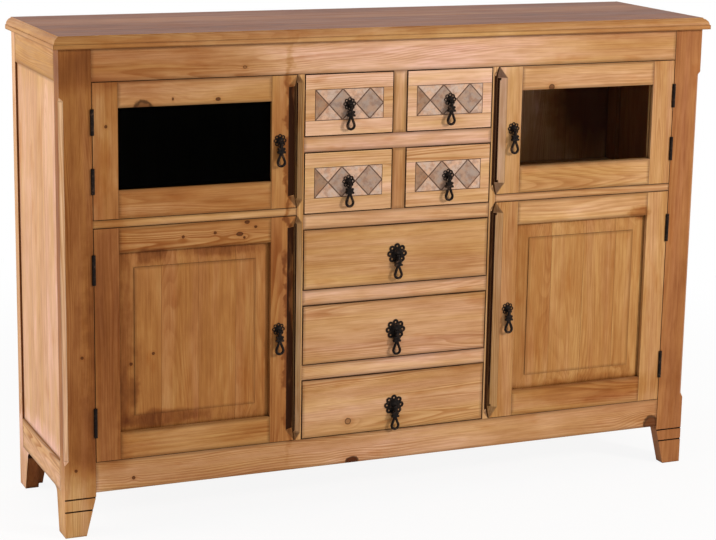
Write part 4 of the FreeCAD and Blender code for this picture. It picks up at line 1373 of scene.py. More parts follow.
    def mark_board(
        self, faces: list[bmesh.types.BMFace], marks: BoardMarks, way: Way, timber: Timber
    ) -> None:
        """Gives one board or stave its own piece of timber, cut at its own distance from the pith.

        Args:
            faces: the faces of the board.
            marks: the mesh's attributes.
            way: the way that its grain runs.
            timber: the tones to choose from.
        """
        low, high = extent(faces)
        middle = (low + high) / 2
        along = way.value
        across, through = way.across
        distance = self.chance.uniform(*self.pith_distances)
        turn = self.chance.uniform(*self.pith_turns)
        log_place = self.chance.uniform(*self.log_places)
        pith = Vector((math.sin(turn) * distance, math.cos(turn) * distance, log_place))
        start = pith - Vector((middle[across], middle[through], middle[along]))
        board_tone = timber.tone(way, self.chance)
        board_flush = timber.flush + self.chance.uniform(*self.flush_changes)
        board_figure = timber.figure + self.chance.uniform(*self.figure_changes)
        for face in faces:
            face[marks.tone] = board_tone + self.tone_change(face, middle, timber)
            face[marks.flush] = board_flush
            face[marks.figure] = board_figure
            face[marks.end] = abs(face.normal[along])
            for loop in face.loops:
                place = loop.vert.co
                loop[marks.grain] = Vector((place[across], place[through], place[along])) + start

    def tone_change(self, face: bmesh.types.BMFace, middle: Vector, timber: Timber) -> float:
        """How much paler than its board a face is, as a front chamfer, or as one that looks into the case, where a
        negative inward shade is painted shade.

        Args:
            face: the face.
            middle: the middle of its board.
            timber: the timber, which has both changes.

        Returns:
            The change of tone.
        """
        normal = face.normal
        slanted = abs(normal.x) > self.side_turn and normal.y < self.flattest_front
        faces_in = normal.x * middle.x < -self.inner_turn * abs(middle.x) or normal.y < -self.inner_turn
        return (timber.chamfer if slanted else 0.0) + (timber.inward_shade if faces_in else 0.0)

    def finish(
        self,
        node: str,
        timber: Timber,
        knots: tuple[Knot, ...] = (),
        staves: Staves | None = None,
        arris: float | None = None,
        edge_wax: float | None = None,
        grooved: bool = True,
    ) -> bpy.types.Object:
        """Makes the finished boards that stand for a CAD node.

        Args:
            node: the CAD node.
            timber: the tones of its boards.
            knots: its knots.
            staves: where its glued joints lie, if it has any.
            arris: how far its arrises are rounded, if not as usual.
            edge_wax: how dark its edges are, if not as usual.
            grooved: whether its narrow faces are the sides of grooves and steps.

        Returns:
            The new piece.
        """
        mesh = self.boards_of(node)
        marks = BoardMarks(mesh)
        if grooved:
            self.paint_groove_shade(mesh, marks)
        self.soften(mesh, marks, arris or self.arris)
        self.smear_edges(mesh, marks, self.edge_wax if edge_wax is None else edge_wax)
        mesh.normal_update()
        # Door frames and dividers get painted shade on their front bevels.
        if node.endswith("_door_frame") or node.startswith("divider"):
            self.paint_bevel_shade(mesh, marks)
        if staves:
            self.split_staves(mesh, staves)
            mesh.normal_update()
        self.mark_grain(mesh, marks, timber, staves)
        material = self.finishes.pine_for(node, knots)
        piece = add_piece(mesh, f"{node}_boards", material, BODY_OF[node])
        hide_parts(node)
        log.info("boards of %s", node)
        return piece


def even_joints(
    low: float, high: float, count: int, chance: random.Random, unevenness: float = 0.12
) -> tuple[float, ...]:
    """Places of the joints between boards of nearly equal width.

    Args:
        low: where the first board starts.
        high: where the last board ends.
        count: how many boards there are.
        chance: the source of the small differences.
        unevenness: the largest difference, as a share of a board's width.

    Returns:
        The places of the joints.
    """
    width = (high - low) / count
    return tuple(low + width * (step + chance.uniform(-unevenness, unevenness)) for step in range(1, count))


@dataclass
class Case:
    """The legs, rails, panels, dividers and shelves that stay still."""

    joiner: Joiner
    top: Timber = Timber(level=0.3, deep=0.36, flush=0.95, spread=0.1, figure=1.4)
    moulding: Timber = Timber(level=0.56, deep=0.64, flush=0.3, spread=0.0)
    # The left post is darker and less pink than the right one: partly the wood's own tone, partly painted shade
    # for the light falling off towards the left.
    left_post: Timber = Timber(upright=0.38, flush=0.2, chamfer=0.72)
    right_post: Timber = Timber(upright=0.41, flush=0.5)
    front_rails: Timber = Timber(level=0.7, flush=0.5, figure=0.65)
    # The faces of the side boards and rear posts that look into the case get painted shade through a negative
    # inward shade.
    side: Timber = Timber(upright=0.84, deep=0.8, flush=0.5, spread=0.04, inward_shade=-0.6)
    side_rails: Timber = Timber(deep=0.66, flush=0.15, spread=0.04, figure=0.9)
    dividers: Timber = Timber(upright=0.74, flush=0.1, chamfer=0.1)
    drawer_rails: Timber = Timber(upright=0.61, level=0.81, flush=0.5)
    inside: Timber = Timber(upright=0.72, level=0.7, deep=0.6, flush=0.3)
    rail_knots: tuple[Knot, ...] = (
        Knot(0.655, 0.1, 0.018, 0.85),
        Knot(-0.097, 0.097, 0.008, 1.0, 1.8),
        Knot(-0.59, 0.115, 0.0035),
        Knot(-0.348, 0.964, 0.003, 0.45, 1.4),
    )
    post_knots: tuple[Knot, ...] = (Knot(-0.697, 0.383, 0.003), Knot(-0.713, 0.144, 0.003))
    top_planks: int = 4
    top_seam: float = 1.8 * MM
    top_edge_wax: float = 0.1
    moulding_arris: float = 0.6 * MM
    side_boards: int = 3
    side_seam: float = 0.3 * MM
    back_boards: int = 12

    def build(self) -> None:
        """Builds every still piece of the case."""
        joiner, chance = self.joiner, self.joiner.chance
        low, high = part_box("top_panel")
        planks = Staves(Way.ALONG_Y, even_joints(low.y, high.y, self.top_planks, chance), self.top_seam)
        joiner.finish("top_panel", self.top, staves=planks, edge_wax=self.top_edge_wax)
        joiner.finish("top_moulding", self.moulding, arris=self.moulding_arris, grooved=False)
        joiner.finish("front_post_left", self.left_post, self.post_knots)
        joiner.finish("front_post_right", self.right_post)
        joiner.finish("rear_post_left", self.side)
        joiner.finish("rear_post_right", self.side)
        joiner.finish("side_rails", self.side_rails)
        for hand in ("left", "right"):
            low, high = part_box(f"side_panel_{hand}")
            joints = even_joints(low.y, high.y, self.side_boards, chance)
            boards = Staves(Way.ALONG_Y, joints, self.side_seam)
            joiner.finish(f"side_panel_{hand}", self.side, staves=boards)
            joiner.finish(f"divider_{hand}", self.dividers)
        joiner.finish("front_rails", self.front_rails, self.rail_knots)
        joiner.finish("drawer_rails", self.drawer_rails)
        for node in ("back_rails", "bottom_panel", "shelves", "drawer_runners"):
            joiner.finish(node, self.inside)
        low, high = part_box("back_panel")
        sheets = Staves(Way.ALONG_X, even_joints(low.x, high.x, self.back_boards, chance))
        joiner.finish("back_panel", self.inside, staves=sheets)


@dataclass
class Door:
    """One door: its frame, and its glass or raised panel."""

    level: str
    hand: str
    joiner: Joiner
    frame_timber: Timber
    panel_timber: Timber = Timber()
    frame_knots: tuple[Knot, ...] = ()
    panel_knots: tuple[Knot, ...] = ()
    arris: float = 0.6 * MM
    panel_edge_wax: float = 0.4
    stave_shares: tuple[float, ...] = (0.284, 0.52, 0.757)

    @property
    def name(self) -> str:
        """The door's name, as its body has it."""
        return f"{self.level}_{self.hand}_door"

    def build(self) -> None:
        """Builds the door's woodwork and its glass: dark-tinted on the left, as painted shade for the cupboard
        behind it, and clear on the right.
        """
        self.joiner.finish(f"{self.name}_frame", self.frame_timber, self.frame_knots, arris=self.arris)
        if self.level == "upper":
            finishes = self.joiner.finishes
            glass = finishes.smoked_glass if self.hand == "left" else finishes.clear_glass
            dress_node(f"{self.name}_glass", glass)
        else:
            self.build_panel()

    def build_panel(self) -> None:
        """Builds the raised panel, glued up from staves."""
        node = f"{self.name}_panel"
        low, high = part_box(node)
        joints = tuple(low.x + (high.x - low.x) * share for share in self.stave_shares)
        staves = Staves(Way.ALONG_X, joints)
        wax = self.panel_edge_wax
        self.joiner.finish(node, self.panel_timber, self.panel_knots, staves, edge_wax=wax)


@dataclass
class Drawer:
    """One drawer box, with the framed front and the stone inlay on the small ones."""

    name: str
    joiner: Joiner
    timber: Timber
    knots: tuple[Knot, ...] = ()
    inlaid: bool = False
    arris: float = 0.7 * MM
    inlay_gap: float = 0.8 * MM
    filler_depth: float = 0.6 * MM
    tile_arris: float = 0.8 * MM
    tile_spread: float = 0.08
    worn_stain: float = 0.85
    tall_share: float = 0.85
    wide_share: float = 0.7

    def build(self) -> None:
        """Builds the box and, on a small drawer, its inlay."""
        staves = self.front_frame() if self.inlaid else None
        self.joiner.finish(f"{self.name}_box", self.timber, self.knots, staves, arris=self.arris)
        if self.inlaid:
            self.build_tiles()
            self.build_filler()
            log.info("inlay of %s", self.name)

    def front_frame(self) -> Staves:
        """The joints round the inlay, which make rails above and below it and short stiles beside it.

        Returns:
            The joints and the width of their seams.
        """
        low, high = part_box(f"{self.name}_inlay")
        half = self.inlay_gap / 2
        return Staves(Way.ALONG_Z, (low.z - half, high.z + half), self.inlay_gap)

    def build_tiles(self) -> None:
        """Builds the stone tiles, with worn front edges."""
        node = f"{self.name}_inlay"
        mesh = self.joiner.boards_of(node)
        tone = mesh.faces.layers.float.new("tone")
        stain = mesh.faces.layers.float.new("stain")
        low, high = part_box(node)
        for tile in islands(mesh):
            kind = self.kind_of(tile, high.z - low.z)
            tile_tone = kind.value + self.joiner.chance.uniform(-self.tile_spread, self.tile_spread)
            for face in tile:
                face[tone] = tile_tone
        front = low.y + WELD
        front_edges = [edge for edge in mesh.edges if all(vert.co.y < front for vert in edge.verts)]
        for face in round_edges(mesh, front_edges, self.tile_arris):
            face[stain] = self.worn_stain
        tiles = add_piece(mesh, f"{node}_tiles", self.joiner.finishes.stone, self.name)
        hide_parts(node)

    def build_filler(self) -> None:
        """Builds the dark bed that the tiles lie in, a little lower than their faces."""
        node = f"{self.name}_inlay"
        low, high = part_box(node)
        size = high - low
        size.y -= self.filler_depth
        middle = (low + high) / 2
        middle.y += self.filler_depth / 2
        bed = bmesh.new()
        place = Matrix.Translation(middle) @ Matrix.Diagonal((*size, 1.0))
        bmesh.ops.create_cube(bed, size=1.0, matrix=place)
        add_piece(bed, f"{node}_filler", self.joiner.finishes.filler, self.name)

    def kind_of(self, tile: list[bmesh.types.BMFace], height: float) -> StoneKind:
        """Which stone a tile is cut from: whole diamonds are slate, the half one is sandstone.

        Args:
            tile: the faces of the tile.
            height: the height of the whole inlay.

        Returns:
            The stone.
        """
        low, high = extent(tile)
        if high.z - low.z <= height * self.tall_share:
            return StoneKind.CREAM
        return StoneKind.SLATE if high.x - low.x > height * self.wide_share else StoneKind.SANDSTONE


@dataclass
class Pull:
    """A forged iron pull: a pierced flower of rings round a boss, two ears with a pin, and the drop on it."""

    body: str
    iron: bpy.types.Material
    radius: float
    petals: int = 8
    petal_share: float = 0.29
    petal_facets: int = 20
    petal_round: float = 0.3
    hole_radius: float = 2.1 * MM
    plate: float = 1.6 * MM
    disc_rise: float = 1.3
    disc_back_share: float = 0.48
    disc_front_share: float = 0.56
    disc_facets: int = 32
    boss_radius: float = 6.0 * MM
    boss_height: float = 4.8 * MM
    boss_facets: int = 20
    boss_rings: int = 12
    rim_angle: float = math.radians(60.0)
    standoff: float = 9.0 * MM
    pivot_drop: float = 3.0 * MM
    ear_radius: float = 3.2 * MM
    ear_thickness: float = 1.8 * MM
    ear_gap: float = 6.6 * MM
    ear_round: float = 0.3 * MM
    ear_facets: int = 20
    stem_share: float = 1.8
    pin_radius: float = 1.5 * MM
    pin_facets: int = 14
    barrel_radius: float = 3.0 * MM
    barrel_length: float = 6.0 * MM
    barrel_play: float = 0.06 * MM
    barrel_ease: float = 0.5 * MM
    barrel_facets: int = 24
    shank_radius: float = 3.6 * MM
    shank_swell: float = 1.15
    shank_facets: int = 20
    neck_radius: float = 2.6 * MM
    neck_clearance: float = 0.5 * MM
    neck_slope: float = 1.4 * MM
    neck_start: float = 0.7
    swell_rise: float = 0.6 * MM
    tip_length: float = 1.2 * MM
    collar_low: float = 22.5 * MM
    collar_width: float = 18.0 * MM
    collar_thickness: float = 7.4 * MM
    collar_ridge: float = 4.8 * MM
    collar_notch: float = 2.4 * MM
    collar_round: float = 1.2 * MM
    upper_ridge_share: float = 0.9
    core_thickness_share: float = 0.85
    core_height_share: float = 0.7
    loop_radius: float = 7.8 * MM
    loop_low: float = 49.2 * MM
    loop_facets: int = 22
    wire_radius: float = 2.8 * MM
    wire_facets: int = 12
    apex_rise: float = 2.6 * MM

    @property
    def pivot(self) -> Vector:
        """The middle of the pin."""
        joint = next(item for item in frame["joints"] if item["name"] == f"{self.body}_drop_swing")
        return Vector(joint["pos_m"])

    def build(self) -> None:
        """Builds the pull's two pieces."""
        self.build_rosette()
        self.build_drop()
        log.info("pull of %s", self.body)

    def build_rosette(self) -> None:
        """Builds the fixed part: petals, plate, boss, ears and pin, with a door's hinge leaves beside it."""
        mesh = bmesh.new()
        self.add_petals(mesh)
        self.add_plate(mesh)
        self.add_boss(mesh)
        self.add_ears(mesh)
        centre = self.pivot + Vector((0.0, self.standoff, self.pivot_drop))
        self.place_smooth(mesh, centre)
        node = f"{self.body}_rosette" if "drawer" in self.body else f"{self.body}_ironwork"
        if "door" in self.body:
            self.add_hinge_leaves(mesh, node, centre)
        piece = add_piece(mesh, f"{self.body}_forged_rosette", self.iron, self.body)
        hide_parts(node)

    @staticmethod
    def place_smooth(mesh: bmesh.types.BMesh, place: Vector) -> None:
        """Moves a mesh to its place and shades it smooth.

        Args:
            mesh: the mesh to move.
            place: where its origin goes.
        """
        bmesh.ops.translate(mesh, verts=mesh.verts, vec=place)
        for face in mesh.faces:
            face.smooth = True

    def rims_of(self, edges: list[bmesh.types.BMEdge]) -> list[bmesh.types.BMEdge]:
        """The edges that turn sharply."""
        return [edge for edge in edges if edge.calc_face_angle(0.0) > self.rim_angle]

    def add_petals(self, mesh: bmesh.types.BMesh) -> None:
        """Adds the petals, with a pierced hole each.

        Args:
            mesh: the rosette's mesh, still empty.
        """
        radius = self.radius * self.petal_share
        upright = Matrix.Rotation(math.radians(90.0), 4, "X")
        place = Matrix.Translation((0.0, 0.0, self.radius - radius)) @ upright
        facets = self.petal_facets
        bmesh.ops.create_circle(mesh, cap_ends=True, segments=facets, radius=radius, matrix=place)
        inner = list(mesh.faces)
        bmesh.ops.inset_region(mesh, faces=inner, thickness=radius - self.hole_radius, use_boundary=True)
        bmesh.ops.delete(mesh, geom=inner, context="FACES")
        ring = bmesh.ops.extrude_face_region(mesh, geom=list(mesh.faces))
        raised = [item for item in ring["geom"] if isinstance(item, bmesh.types.BMVert)]
        bmesh.ops.translate(mesh, verts=raised, vec=(0.0, -self.plate, 0.0))
        bmesh.ops.recalc_face_normals(mesh, faces=mesh.faces)
        round_edges(mesh, self.rims_of(mesh.edges), self.plate * self.petal_round)
        bmesh.ops.spin(
            mesh,
            geom=[*mesh.verts, *mesh.edges, *mesh.faces],
            cent=(0.0, 0.0, 0.0),
            axis=(0.0, 1.0, 0.0),
            angle=math.tau * (self.petals - 1) / self.petals,
            steps=self.petals - 1,
            use_duplicate=True,
        )

    def add_plate(self, mesh: bmesh.types.BMesh) -> None:
        """Adds the dished plate that joins the petals.

        Args:
            mesh: the rosette's mesh.
        """
        depth = self.plate * self.disc_rise
        upright = Matrix.Rotation(math.radians(90.0), 4, "X")
        place = Matrix.Translation((0.0, -depth / 2, 0.0)) @ upright
        radii = self.radius * self.disc_back_share, self.radius * self.disc_front_share
        self.add_disc(mesh, *radii, depth, self.disc_facets, place)

    @staticmethod
    def add_disc(
        mesh: bmesh.types.BMesh, first: float, second: float, depth: float, facets: int, place: Matrix
    ) -> list[bmesh.types.BMVert]:
        """Adds a capped disc or pin.

        Args:
            mesh: the mesh to add to.
            first: the radius at the end that it starts from.
            second: the radius at the other end.
            depth: how long it is along its axis.
            facets: how many sides it has.
            place: where it goes.

        Returns:
            Its points.
        """
        made = bmesh.ops.create_cone(
            mesh,
            cap_ends=True,
            segments=facets,
            radius1=first,
            radius2=second,
            depth=depth,
            matrix=place,
        )
        return made["verts"]

    def add_boss(self, mesh: bmesh.types.BMesh) -> None:
        """Adds a domed boss in the middle of the plate.

        Args:
            mesh: the rosette's mesh.
        """
        flattened = Matrix.Diagonal((1.0, self.boss_height / self.boss_radius, 1.0, 1.0))
        upright = Matrix.Rotation(math.radians(90.0), 4, "X")
        made = bmesh.ops.create_uvsphere(
            mesh,
            u_segments=self.boss_facets,
            v_segments=self.boss_rings,
            radius=self.boss_radius,
            matrix=flattened @ upright,
        )
        for vert in made["verts"]:
            vert.co.y = min(vert.co.y, 0.0)

    def add_ears(self, mesh: bmesh.types.BMesh) -> None:
        """Adds two ears and the pin through them.

        Args:
            mesh: the rosette's mesh.
        """
        turned = Matrix.Rotation(math.radians(90.0), 4, "Y")
        radius, thickness = self.ear_radius, self.ear_thickness
        for side in (-1, 1):
            middle = side * (self.ear_gap + thickness) / 2
            eye = Matrix.Translation((middle, -self.standoff, -self.pivot_drop)) @ turned
            points = self.add_disc(mesh, radius, radius, thickness, self.ear_facets, eye)
            stem_depth = self.standoff - self.plate * 0.5
            stem = Matrix.Translation((middle, -stem_depth / 2 - self.plate * 0.5, -self.pivot_drop))
            size = Matrix.Diagonal((thickness, stem_depth, radius * self.stem_share, 1.0))
            bmesh.ops.create_cube(mesh, size=1.0, matrix=stem @ size)
            edges = {edge for vert in points for edge in vert.link_edges}
            round_edges(mesh, self.rims_of(edges), self.ear_round, segments=1)
        place = Matrix.Translation((0.0, -self.standoff, -self.pivot_drop)) @ turned
        length = self.ear_gap + thickness * 2
        self.add_disc(mesh, self.pin_radius, self.pin_radius, length, self.pin_facets, place)

    def add_hinge_leaves(self, mesh: bmesh.types.BMesh, node: str, centre: Vector) -> None:
        """Keeps a door's hinge leaves as the CAD has them.

        Args:
            mesh: the rosette's mesh.
            node: the CAD node with the leaves.
            centre: the middle of the rosette, round which the CAD's own one is left out.
        """
        leaves = bmesh.new()
        leaves.from_mesh(frame["nodes"][node].data)
        bmesh.ops.remove_doubles(leaves, verts=leaves.verts, dist=WELD)
        near = [vert for vert in leaves.verts if abs(vert.co.x - centre.x) < self.radius * 2]
        bmesh.ops.delete(leaves, geom=near, context="VERTS")
        holder = bpy.data.meshes.new(f"{node}_leaves")
        leaves.to_mesh(holder)
        leaves.free()
        mesh.from_mesh(holder)
        bpy.data.meshes.remove(holder)

    def build_drop(self) -> None:
        """Builds the swinging part: barrel, shank with its notched collar, and the teardrop loop."""
        mesh = bmesh.new()
        self.add_barrel(mesh)
        self.add_shank(mesh)
        self.add_collar(mesh)
        self.add_loop(mesh)
        bmesh.ops.recalc_face_normals(mesh, faces=mesh.faces)
        self.place_smooth(mesh, self.pivot)
        piece = add_piece(mesh, f"{self.body}_forged_drop", self.iron, f"{self.body}_drop")
        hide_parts(f"{self.body}_drop")

    @staticmethod
    def turn_outline(
        mesh: bmesh.types.BMesh, outline: list[tuple[float, float]], closed: bool, axis: Triple, facets: int
    ) -> None:
        """Spins an outline in the XZ plane fully round an axis.

        Args:
            mesh: the mesh to add to.
            outline: its corners.
            closed: whether the last corner joins the first.
            axis: the axis to spin round, through the origin.
            facets: how many steps the spin has.
        """
        corners = [mesh.verts.new((x, 0.0, z)) for x, z in outline]
        ends = [*corners[1:], corners[0]] if closed else corners[1:]
        sides = [mesh.edges.new(pair) for pair in zip(corners, ends)]
        bmesh.ops.spin(
            mesh,
            geom=[*corners, *sides],
            cent=(0.0, 0.0, 0.0),
            axis=axis,
            angle=math.tau,
            steps=facets,
            use_merge=True,
        )

    def add_barrel(self, mesh: bmesh.types.BMesh) -> None:
        """Adds a ring round the pin: an eased oblong spun about the pin's own line.

        Args:
            mesh: the drop's mesh.
        """
        bore = self.pin_radius + self.barrel_play
        half = self.barrel_length / 2
        ease = self.barrel_ease
        section = [
            (-half, bore),
            (-half, self.barrel_radius - ease),
            (-half + ease, self.barrel_radius),
            (half - ease, self.barrel_radius),
            (half, self.barrel_radius - ease),
            (half, bore),
        ]
        self.turn_outline(mesh, section, True, (1.0, 0.0, 0.0), self.barrel_facets)

    def add_shank(self, mesh: bmesh.types.BMesh) -> None:
        """Adds a turned shank with a narrow neck between the ears and a swelling above the collar.

        Args:
            mesh: the drop's mesh.
        """
        top = -self.barrel_radius * self.neck_start
        shoulder = -self.ear_radius - self.neck_clearance
        collar_high = -self.collar_low + self.collar_ridge * 2 + self.collar_notch
        bead = (shoulder + collar_high) / 2
        outline = [
            (0.0, top),
            (self.neck_radius, top),
            (self.neck_radius, shoulder),
            (self.shank_radius, shoulder - self.neck_slope),
            (self.shank_radius * self.shank_swell, bead - self.swell_rise),
            (self.shank_radius, collar_high),
            (self.shank_radius, -self.collar_low),
            (0.0, -self.collar_low - self.tip_length),
        ]
        self.turn_outline(mesh, outline, False, (0.0, 0.0, 1.0), self.shank_facets)

    def add_collar(self, mesh: bmesh.types.BMesh) -> None:
        """Adds two filed ridges on a narrower block, which leave a notch on each side.

        Args:
            mesh: the drop's mesh.
        """
        height = self.collar_ridge * 2 + self.collar_notch
        lower = -self.collar_low + self.collar_ridge / 2
        upper = lower + self.collar_ridge + self.collar_notch
        narrow = self.collar_width - self.collar_notch * 2
        core_thickness = self.collar_thickness * self.core_thickness_share
        blocks = (
            (lower, self.collar_width, self.collar_thickness, self.collar_ridge),
            (upper, self.collar_width * self.upper_ridge_share, self.collar_thickness, self.collar_ridge),
            ((lower + upper) / 2, narrow, core_thickness, height * self.core_height_share),
        )
        for middle, width, thickness, tall in blocks:
            place = Matrix.Translation((0.0, 0.0, middle)) @ Matrix.Diagonal((width, thickness, tall, 1.0))
            made = bmesh.ops.create_cube(mesh, size=1.0, matrix=place)
            edges = {edge for vert in made["verts"] for edge in vert.link_edges}
            round_edges(mesh, list(edges), self.collar_round, segments=3)

    def add_loop(self, mesh: bmesh.types.BMesh) -> None:
        """Adds a round wire spun round the lower end and drawn up to the collar on both sides.

        Args:
            mesh: the drop's mesh.
        """
        centre = Vector((0.0, 0.0, self.loop_radius - self.loop_low))
        apex = Vector((0.0, 0.0, -self.collar_low + self.apex_rise))
        lean = math.asin(self.loop_radius / (apex - centre).length)
        touch = centre + Vector((-math.cos(lean), 0.0, math.sin(lean))) * self.loop_radius
        place = Matrix.Translation(touch) @ Matrix.Rotation(lean, 4, "Y")
        made = bmesh.ops.create_circle(
            mesh, cap_ends=False, segments=self.wire_facets, radius=self.wire_radius, matrix=place
        )
        first = made["verts"]
        rim = list({edge for vert in first for edge in vert.link_edges})
        turned = bmesh.ops.spin(
            mesh,
            geom=[*first, *rim],
            cent=centre,
            axis=(0.0, -1.0, 0.0),
            angle=math.pi + lean * 2,
            steps=self.loop_facets,
        )
        last = [item for item in turned["geom_last"] if isinstance(item, bmesh.types.BMEdge)]
        for edges, side in ((rim, -1), (last, 1)):
            drawn = bmesh.ops.extrude_edge_only(mesh, edges=edges)
            moved = [item for item in drawn["geom"] if isinstance(item, bmesh.types.BMVert)]
            start = Vector((touch.x * -side, 0.0, touch.z))
            bmesh.ops.translate(mesh, verts=moved, vec=apex - start)


@dataclass(frozen=True)
class Lamp:
    """One soft square lamp: where it hangs, what it is turned to, its side in metres and its watts."""

    name: str
    place: Triple
    target: Triple
    side: float
    power: float
    colour: Shade

    def hang(self) -> None:
        """Hangs the lamp in the scene."""
        data = bpy.data.lights.new(self.name, "AREA")
        data.shape = "SQUARE"
        data.size = self.side
        data.energy = self.power
        data.color = self.colour
        way = Vector(self.target) - Vector(self.place)
        turn = way.to_track_quat("-Z", "Y").to_matrix().to_4x4()
        put_in_scene(self.name, data).matrix_world = Matrix.Translation(self.place) @ turn


LAMPS = (
    Lamp("side_window", (-3.2, 0.5, 1.6), (-0.75, 0.0, 0.65), 1.5, 50.0, (1.0, 0.93, 0.88)),
    Lamp("front_right", (2.7, -3.1, 2.1), (0.05, -0.18, 0.55), 0.6, 105.0, (1.0, 0.94, 0.87)),
    Lamp("overhead", (0.0, 0.6, 3.4), (0.0, 0.0, 1.0), 2.0, 4.0, (0.95, 0.95, 1.0)),
)


@dataclass
class Stage:
    """The floor, the light and the camera at the photograph's angle."""

    camera_place: Triple = (-1.7614, -4.0571, 1.4951)
    yaw: float = math.radians(23.336)
    pitch: float = math.radians(12.998)
    roll: float = math.radians(1.005)
    focal_share: float = 2032.52 / 716.0
    sensor: float = 36.0
    sight: float = 200.0
    floor_size: float = 60.0
    shadow_steps: tuple[float, float] = (0.9, 2.4)
    least_glow: float = 0.9
    soft_light: Shade = (1.0, 0.985, 0.97)
    soft_strength: float = 0.5

    def build(self) -> None:
        """Builds everything round the highboard."""
        bpy.context.scene.view_settings.view_transform = "Standard"
        self.build_camera()
        self.build_floor()
        self.build_world()
        for lamp in LAMPS:
            lamp.hang()

    def build_camera(self) -> None:
        """Builds a camera from the photograph's own perspective."""
        level = math.cos(self.pitch)
        right = Vector((math.cos(self.yaw), -math.sin(self.yaw), 0.0))
        ahead = Vector((math.sin(self.yaw) * level, math.cos(self.yaw) * level, -math.sin(self.pitch)))
        up = right.cross(ahead)
        rolled_right = right * math.cos(self.roll) + up * math.sin(self.roll)
        rolled_up = up * math.cos(self.roll) - right * math.sin(self.roll)
        turn = Matrix((rolled_right, rolled_up, -ahead)).transposed().to_4x4()
        data = bpy.data.cameras.new("photo_camera")
        data.sensor_width = self.sensor
        data.lens = self.focal_share * self.sensor
        data.clip_end = self.sight
        camera = put_in_scene("photo_camera", data)
        camera.matrix_world = Matrix.Translation(self.camera_place) @ turn
        bpy.context.scene.camera = camera

    def build_floor(self) -> None:
        """Builds a pale floor that keeps a soft shadow near the feet and runs out to white."""
        mesh = bmesh.new()
        bmesh.ops.create_grid(mesh, x_segments=1, y_segments=1, size=self.floor_size / 2)
        data = bpy.data.meshes.new("floor")
        mesh.to_mesh(data)
        mesh.free()
        material, tree, here = start_material("pale_floor")
        matt = tree.add("ShaderNodeBsdfDiffuse", {"Color": (0.9, 0.9, 0.9, 1.0)}).outputs["BSDF"]
        white = {"Color": (1.0, 1.0, 1.0, 1.0), "Strength": 1.0}
        glow = tree.add("ShaderNodeEmission", white).outputs["Emission"]
        away = tree.ramp(tree.length(here), *self.shadow_steps, self.least_glow, 1.0)
        share = tree.times(tree.seen_directly(), away)
        tree.show(tree.add("ShaderNodeMixShader", {0: share, 1: matt, 2: glow}).outputs["Shader"])
        data.materials.append(material)
        put_in_scene("floor", data)

    def build_world(self) -> None:
        """Builds an even light from all round, which the camera sees as white."""
        world = bpy.data.worlds.new("studio")
        world.use_nodes = True
        bpy.context.scene.world = world
        tree = ShaderTree(world.node_tree)
        soft_feeds = {"Color": (*self.soft_light, 1.0), "Strength": self.soft_strength}
        soft = tree.add("ShaderNodeBackground", soft_feeds).outputs[0]
        white = tree.add("ShaderNodeBackground", {"Color": (1.0, 1.0, 1.0, 1.0), "Strength": 1.0}).outputs[0]
        mixed = tree.add("ShaderNodeMixShader", {0: tree.seen_directly(), 1: soft, 2: white})
        tree.add("ShaderNodeOutputWorld", {"Surface": mixed.outputs["Shader"]})


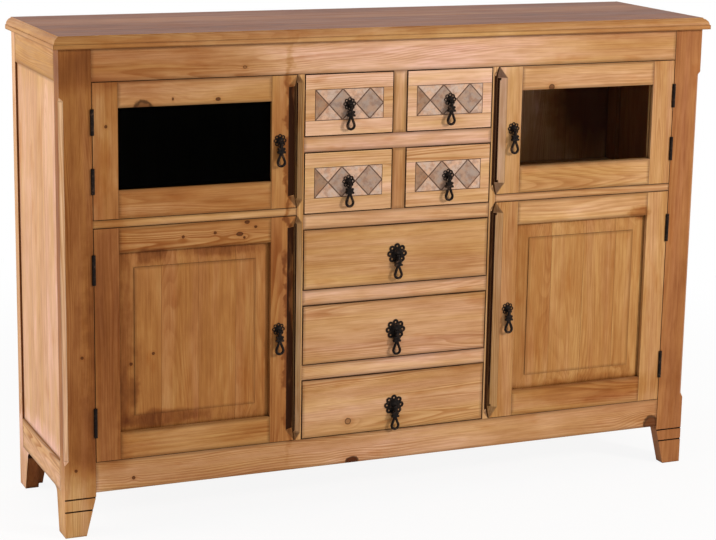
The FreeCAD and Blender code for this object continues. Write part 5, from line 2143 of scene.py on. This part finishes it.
def make_doors(joiner: Joiner) -> list[Door]:
    """Names the four doors, each with its own timber and knots.

    Args:
        joiner: finishes their boards.

    Returns:
        The doors.
    """
    upper_left_knots = (
        Knot(-0.565, 0.882, 0.021, 0.6),
        Knot(-0.502, 0.905, 0.003, 0.9, 0.6),
        Knot(-0.406, 0.901, 0.0035, 0.9, 1.4),
        Knot(-0.642, 0.855, 0.003),
    )
    lower_left_knots = (
        Knot(-0.342, 0.642, 0.0035, 0.9, 1.5),
        Knot(-0.323, 0.631, 0.0025, 0.95, 1.3),
        Knot(-0.358, 0.618, 0.0042, 0.85, 1.6),
        Knot(-0.348, 0.61, 0.0025, 0.95),
        Knot(-0.412, 0.624, 0.003),
        Knot(-0.481, 0.62, 0.003),
    )
    # The left doors get darker tones than the right ones: partly the wood's own tone, partly painted shade for the
    # light falling off towards the left.
    upper_left = Door("upper", "left", joiner, Timber(upright=0.49, level=0.55, flush=0.3))
    upper_left.frame_knots = upper_left_knots
    upper_right = Door("upper", "right", joiner, Timber(upright=0.67, level=0.69, flush=0.3, chamfer=0.2))
    upper_right.frame_knots = (Knot(0.361, 0.896, 0.006, 0.75),)
    lower_left = Door("lower", "left", joiner, Timber(upright=0.43, level=0.53, flush=0.1, figure=0.8))
    lower_left.frame_knots = lower_left_knots
    lower_left.panel_timber = Timber(upright=0.43, flush=0.1, spread=0.05, figure=0.3)
    lower_left.panel_knots = (Knot(-0.545, 0.378, 0.003), Knot(-0.592, 0.359, 0.003))
    lower_right = Door("lower", "right", joiner, Timber(upright=0.6, level=0.65, flush=0.25, chamfer=0.2))
    lower_right.panel_timber = Timber(upright=0.54, flush=0.05, spread=0.05, figure=0.4)
    return [upper_left, upper_right, lower_left, lower_right]


def make_drawers(joiner: Joiner) -> list[Drawer]:
    """Names the seven drawers, each with its own timber.

    Args:
        joiner: finishes their boards.

    Returns:
        The drawers.
    """
    large = Timber(level=0.73, deep=0.5, flush=0.4, figure=0.6)
    ringed_knot = Knot(-0.108, 0.187, 0.0065, 0.4)
    drawers = [
        Drawer("large_drawer_bottom", joiner, large, (ringed_knot,)),
        Drawer("large_drawer_middle", joiner, large),
        Drawer("large_drawer_top", joiner, large),
    ]
    # The small drawers are pale and pinkish, the upper ones palest: partly the wood's own tone, partly a painted
    # sheen.
    small_tones = {
        "lower_left": (0.84, 0.3),
        "lower_right": (0.85, 0.35),
        "upper_left": (0.87, 0.35),
        "upper_right": (0.9, 0.4),
    }
    for place, (level, flush) in small_tones.items():
        small = Timber(level=level, deep=0.6, flush=flush)
        drawers.append(Drawer(f"small_drawer_{place}", joiner, small, inlaid=True))
    return drawers


def main() -> None:
    """Builds the highboard's pieces in order and reports each one."""
    logging.basicConfig(level=logging.INFO, format="%(name)s: %(message)s")
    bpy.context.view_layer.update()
    Stage().build()
    finishes = Finishes()
    joiner = Joiner(finishes)
    Case(joiner).build()
    doors = make_doors(joiner)
    drawers = make_drawers(joiner)
    for part in (*doors, *drawers):
        part.build()
        radius = LARGE_PULL if part.name.startswith("large") else SMALL_PULL
        Pull(part.name, finishes.iron, radius).build()
    dress_node("case_hinge_leaves", finishes.iron)


if __name__ == "__main__":
    main()
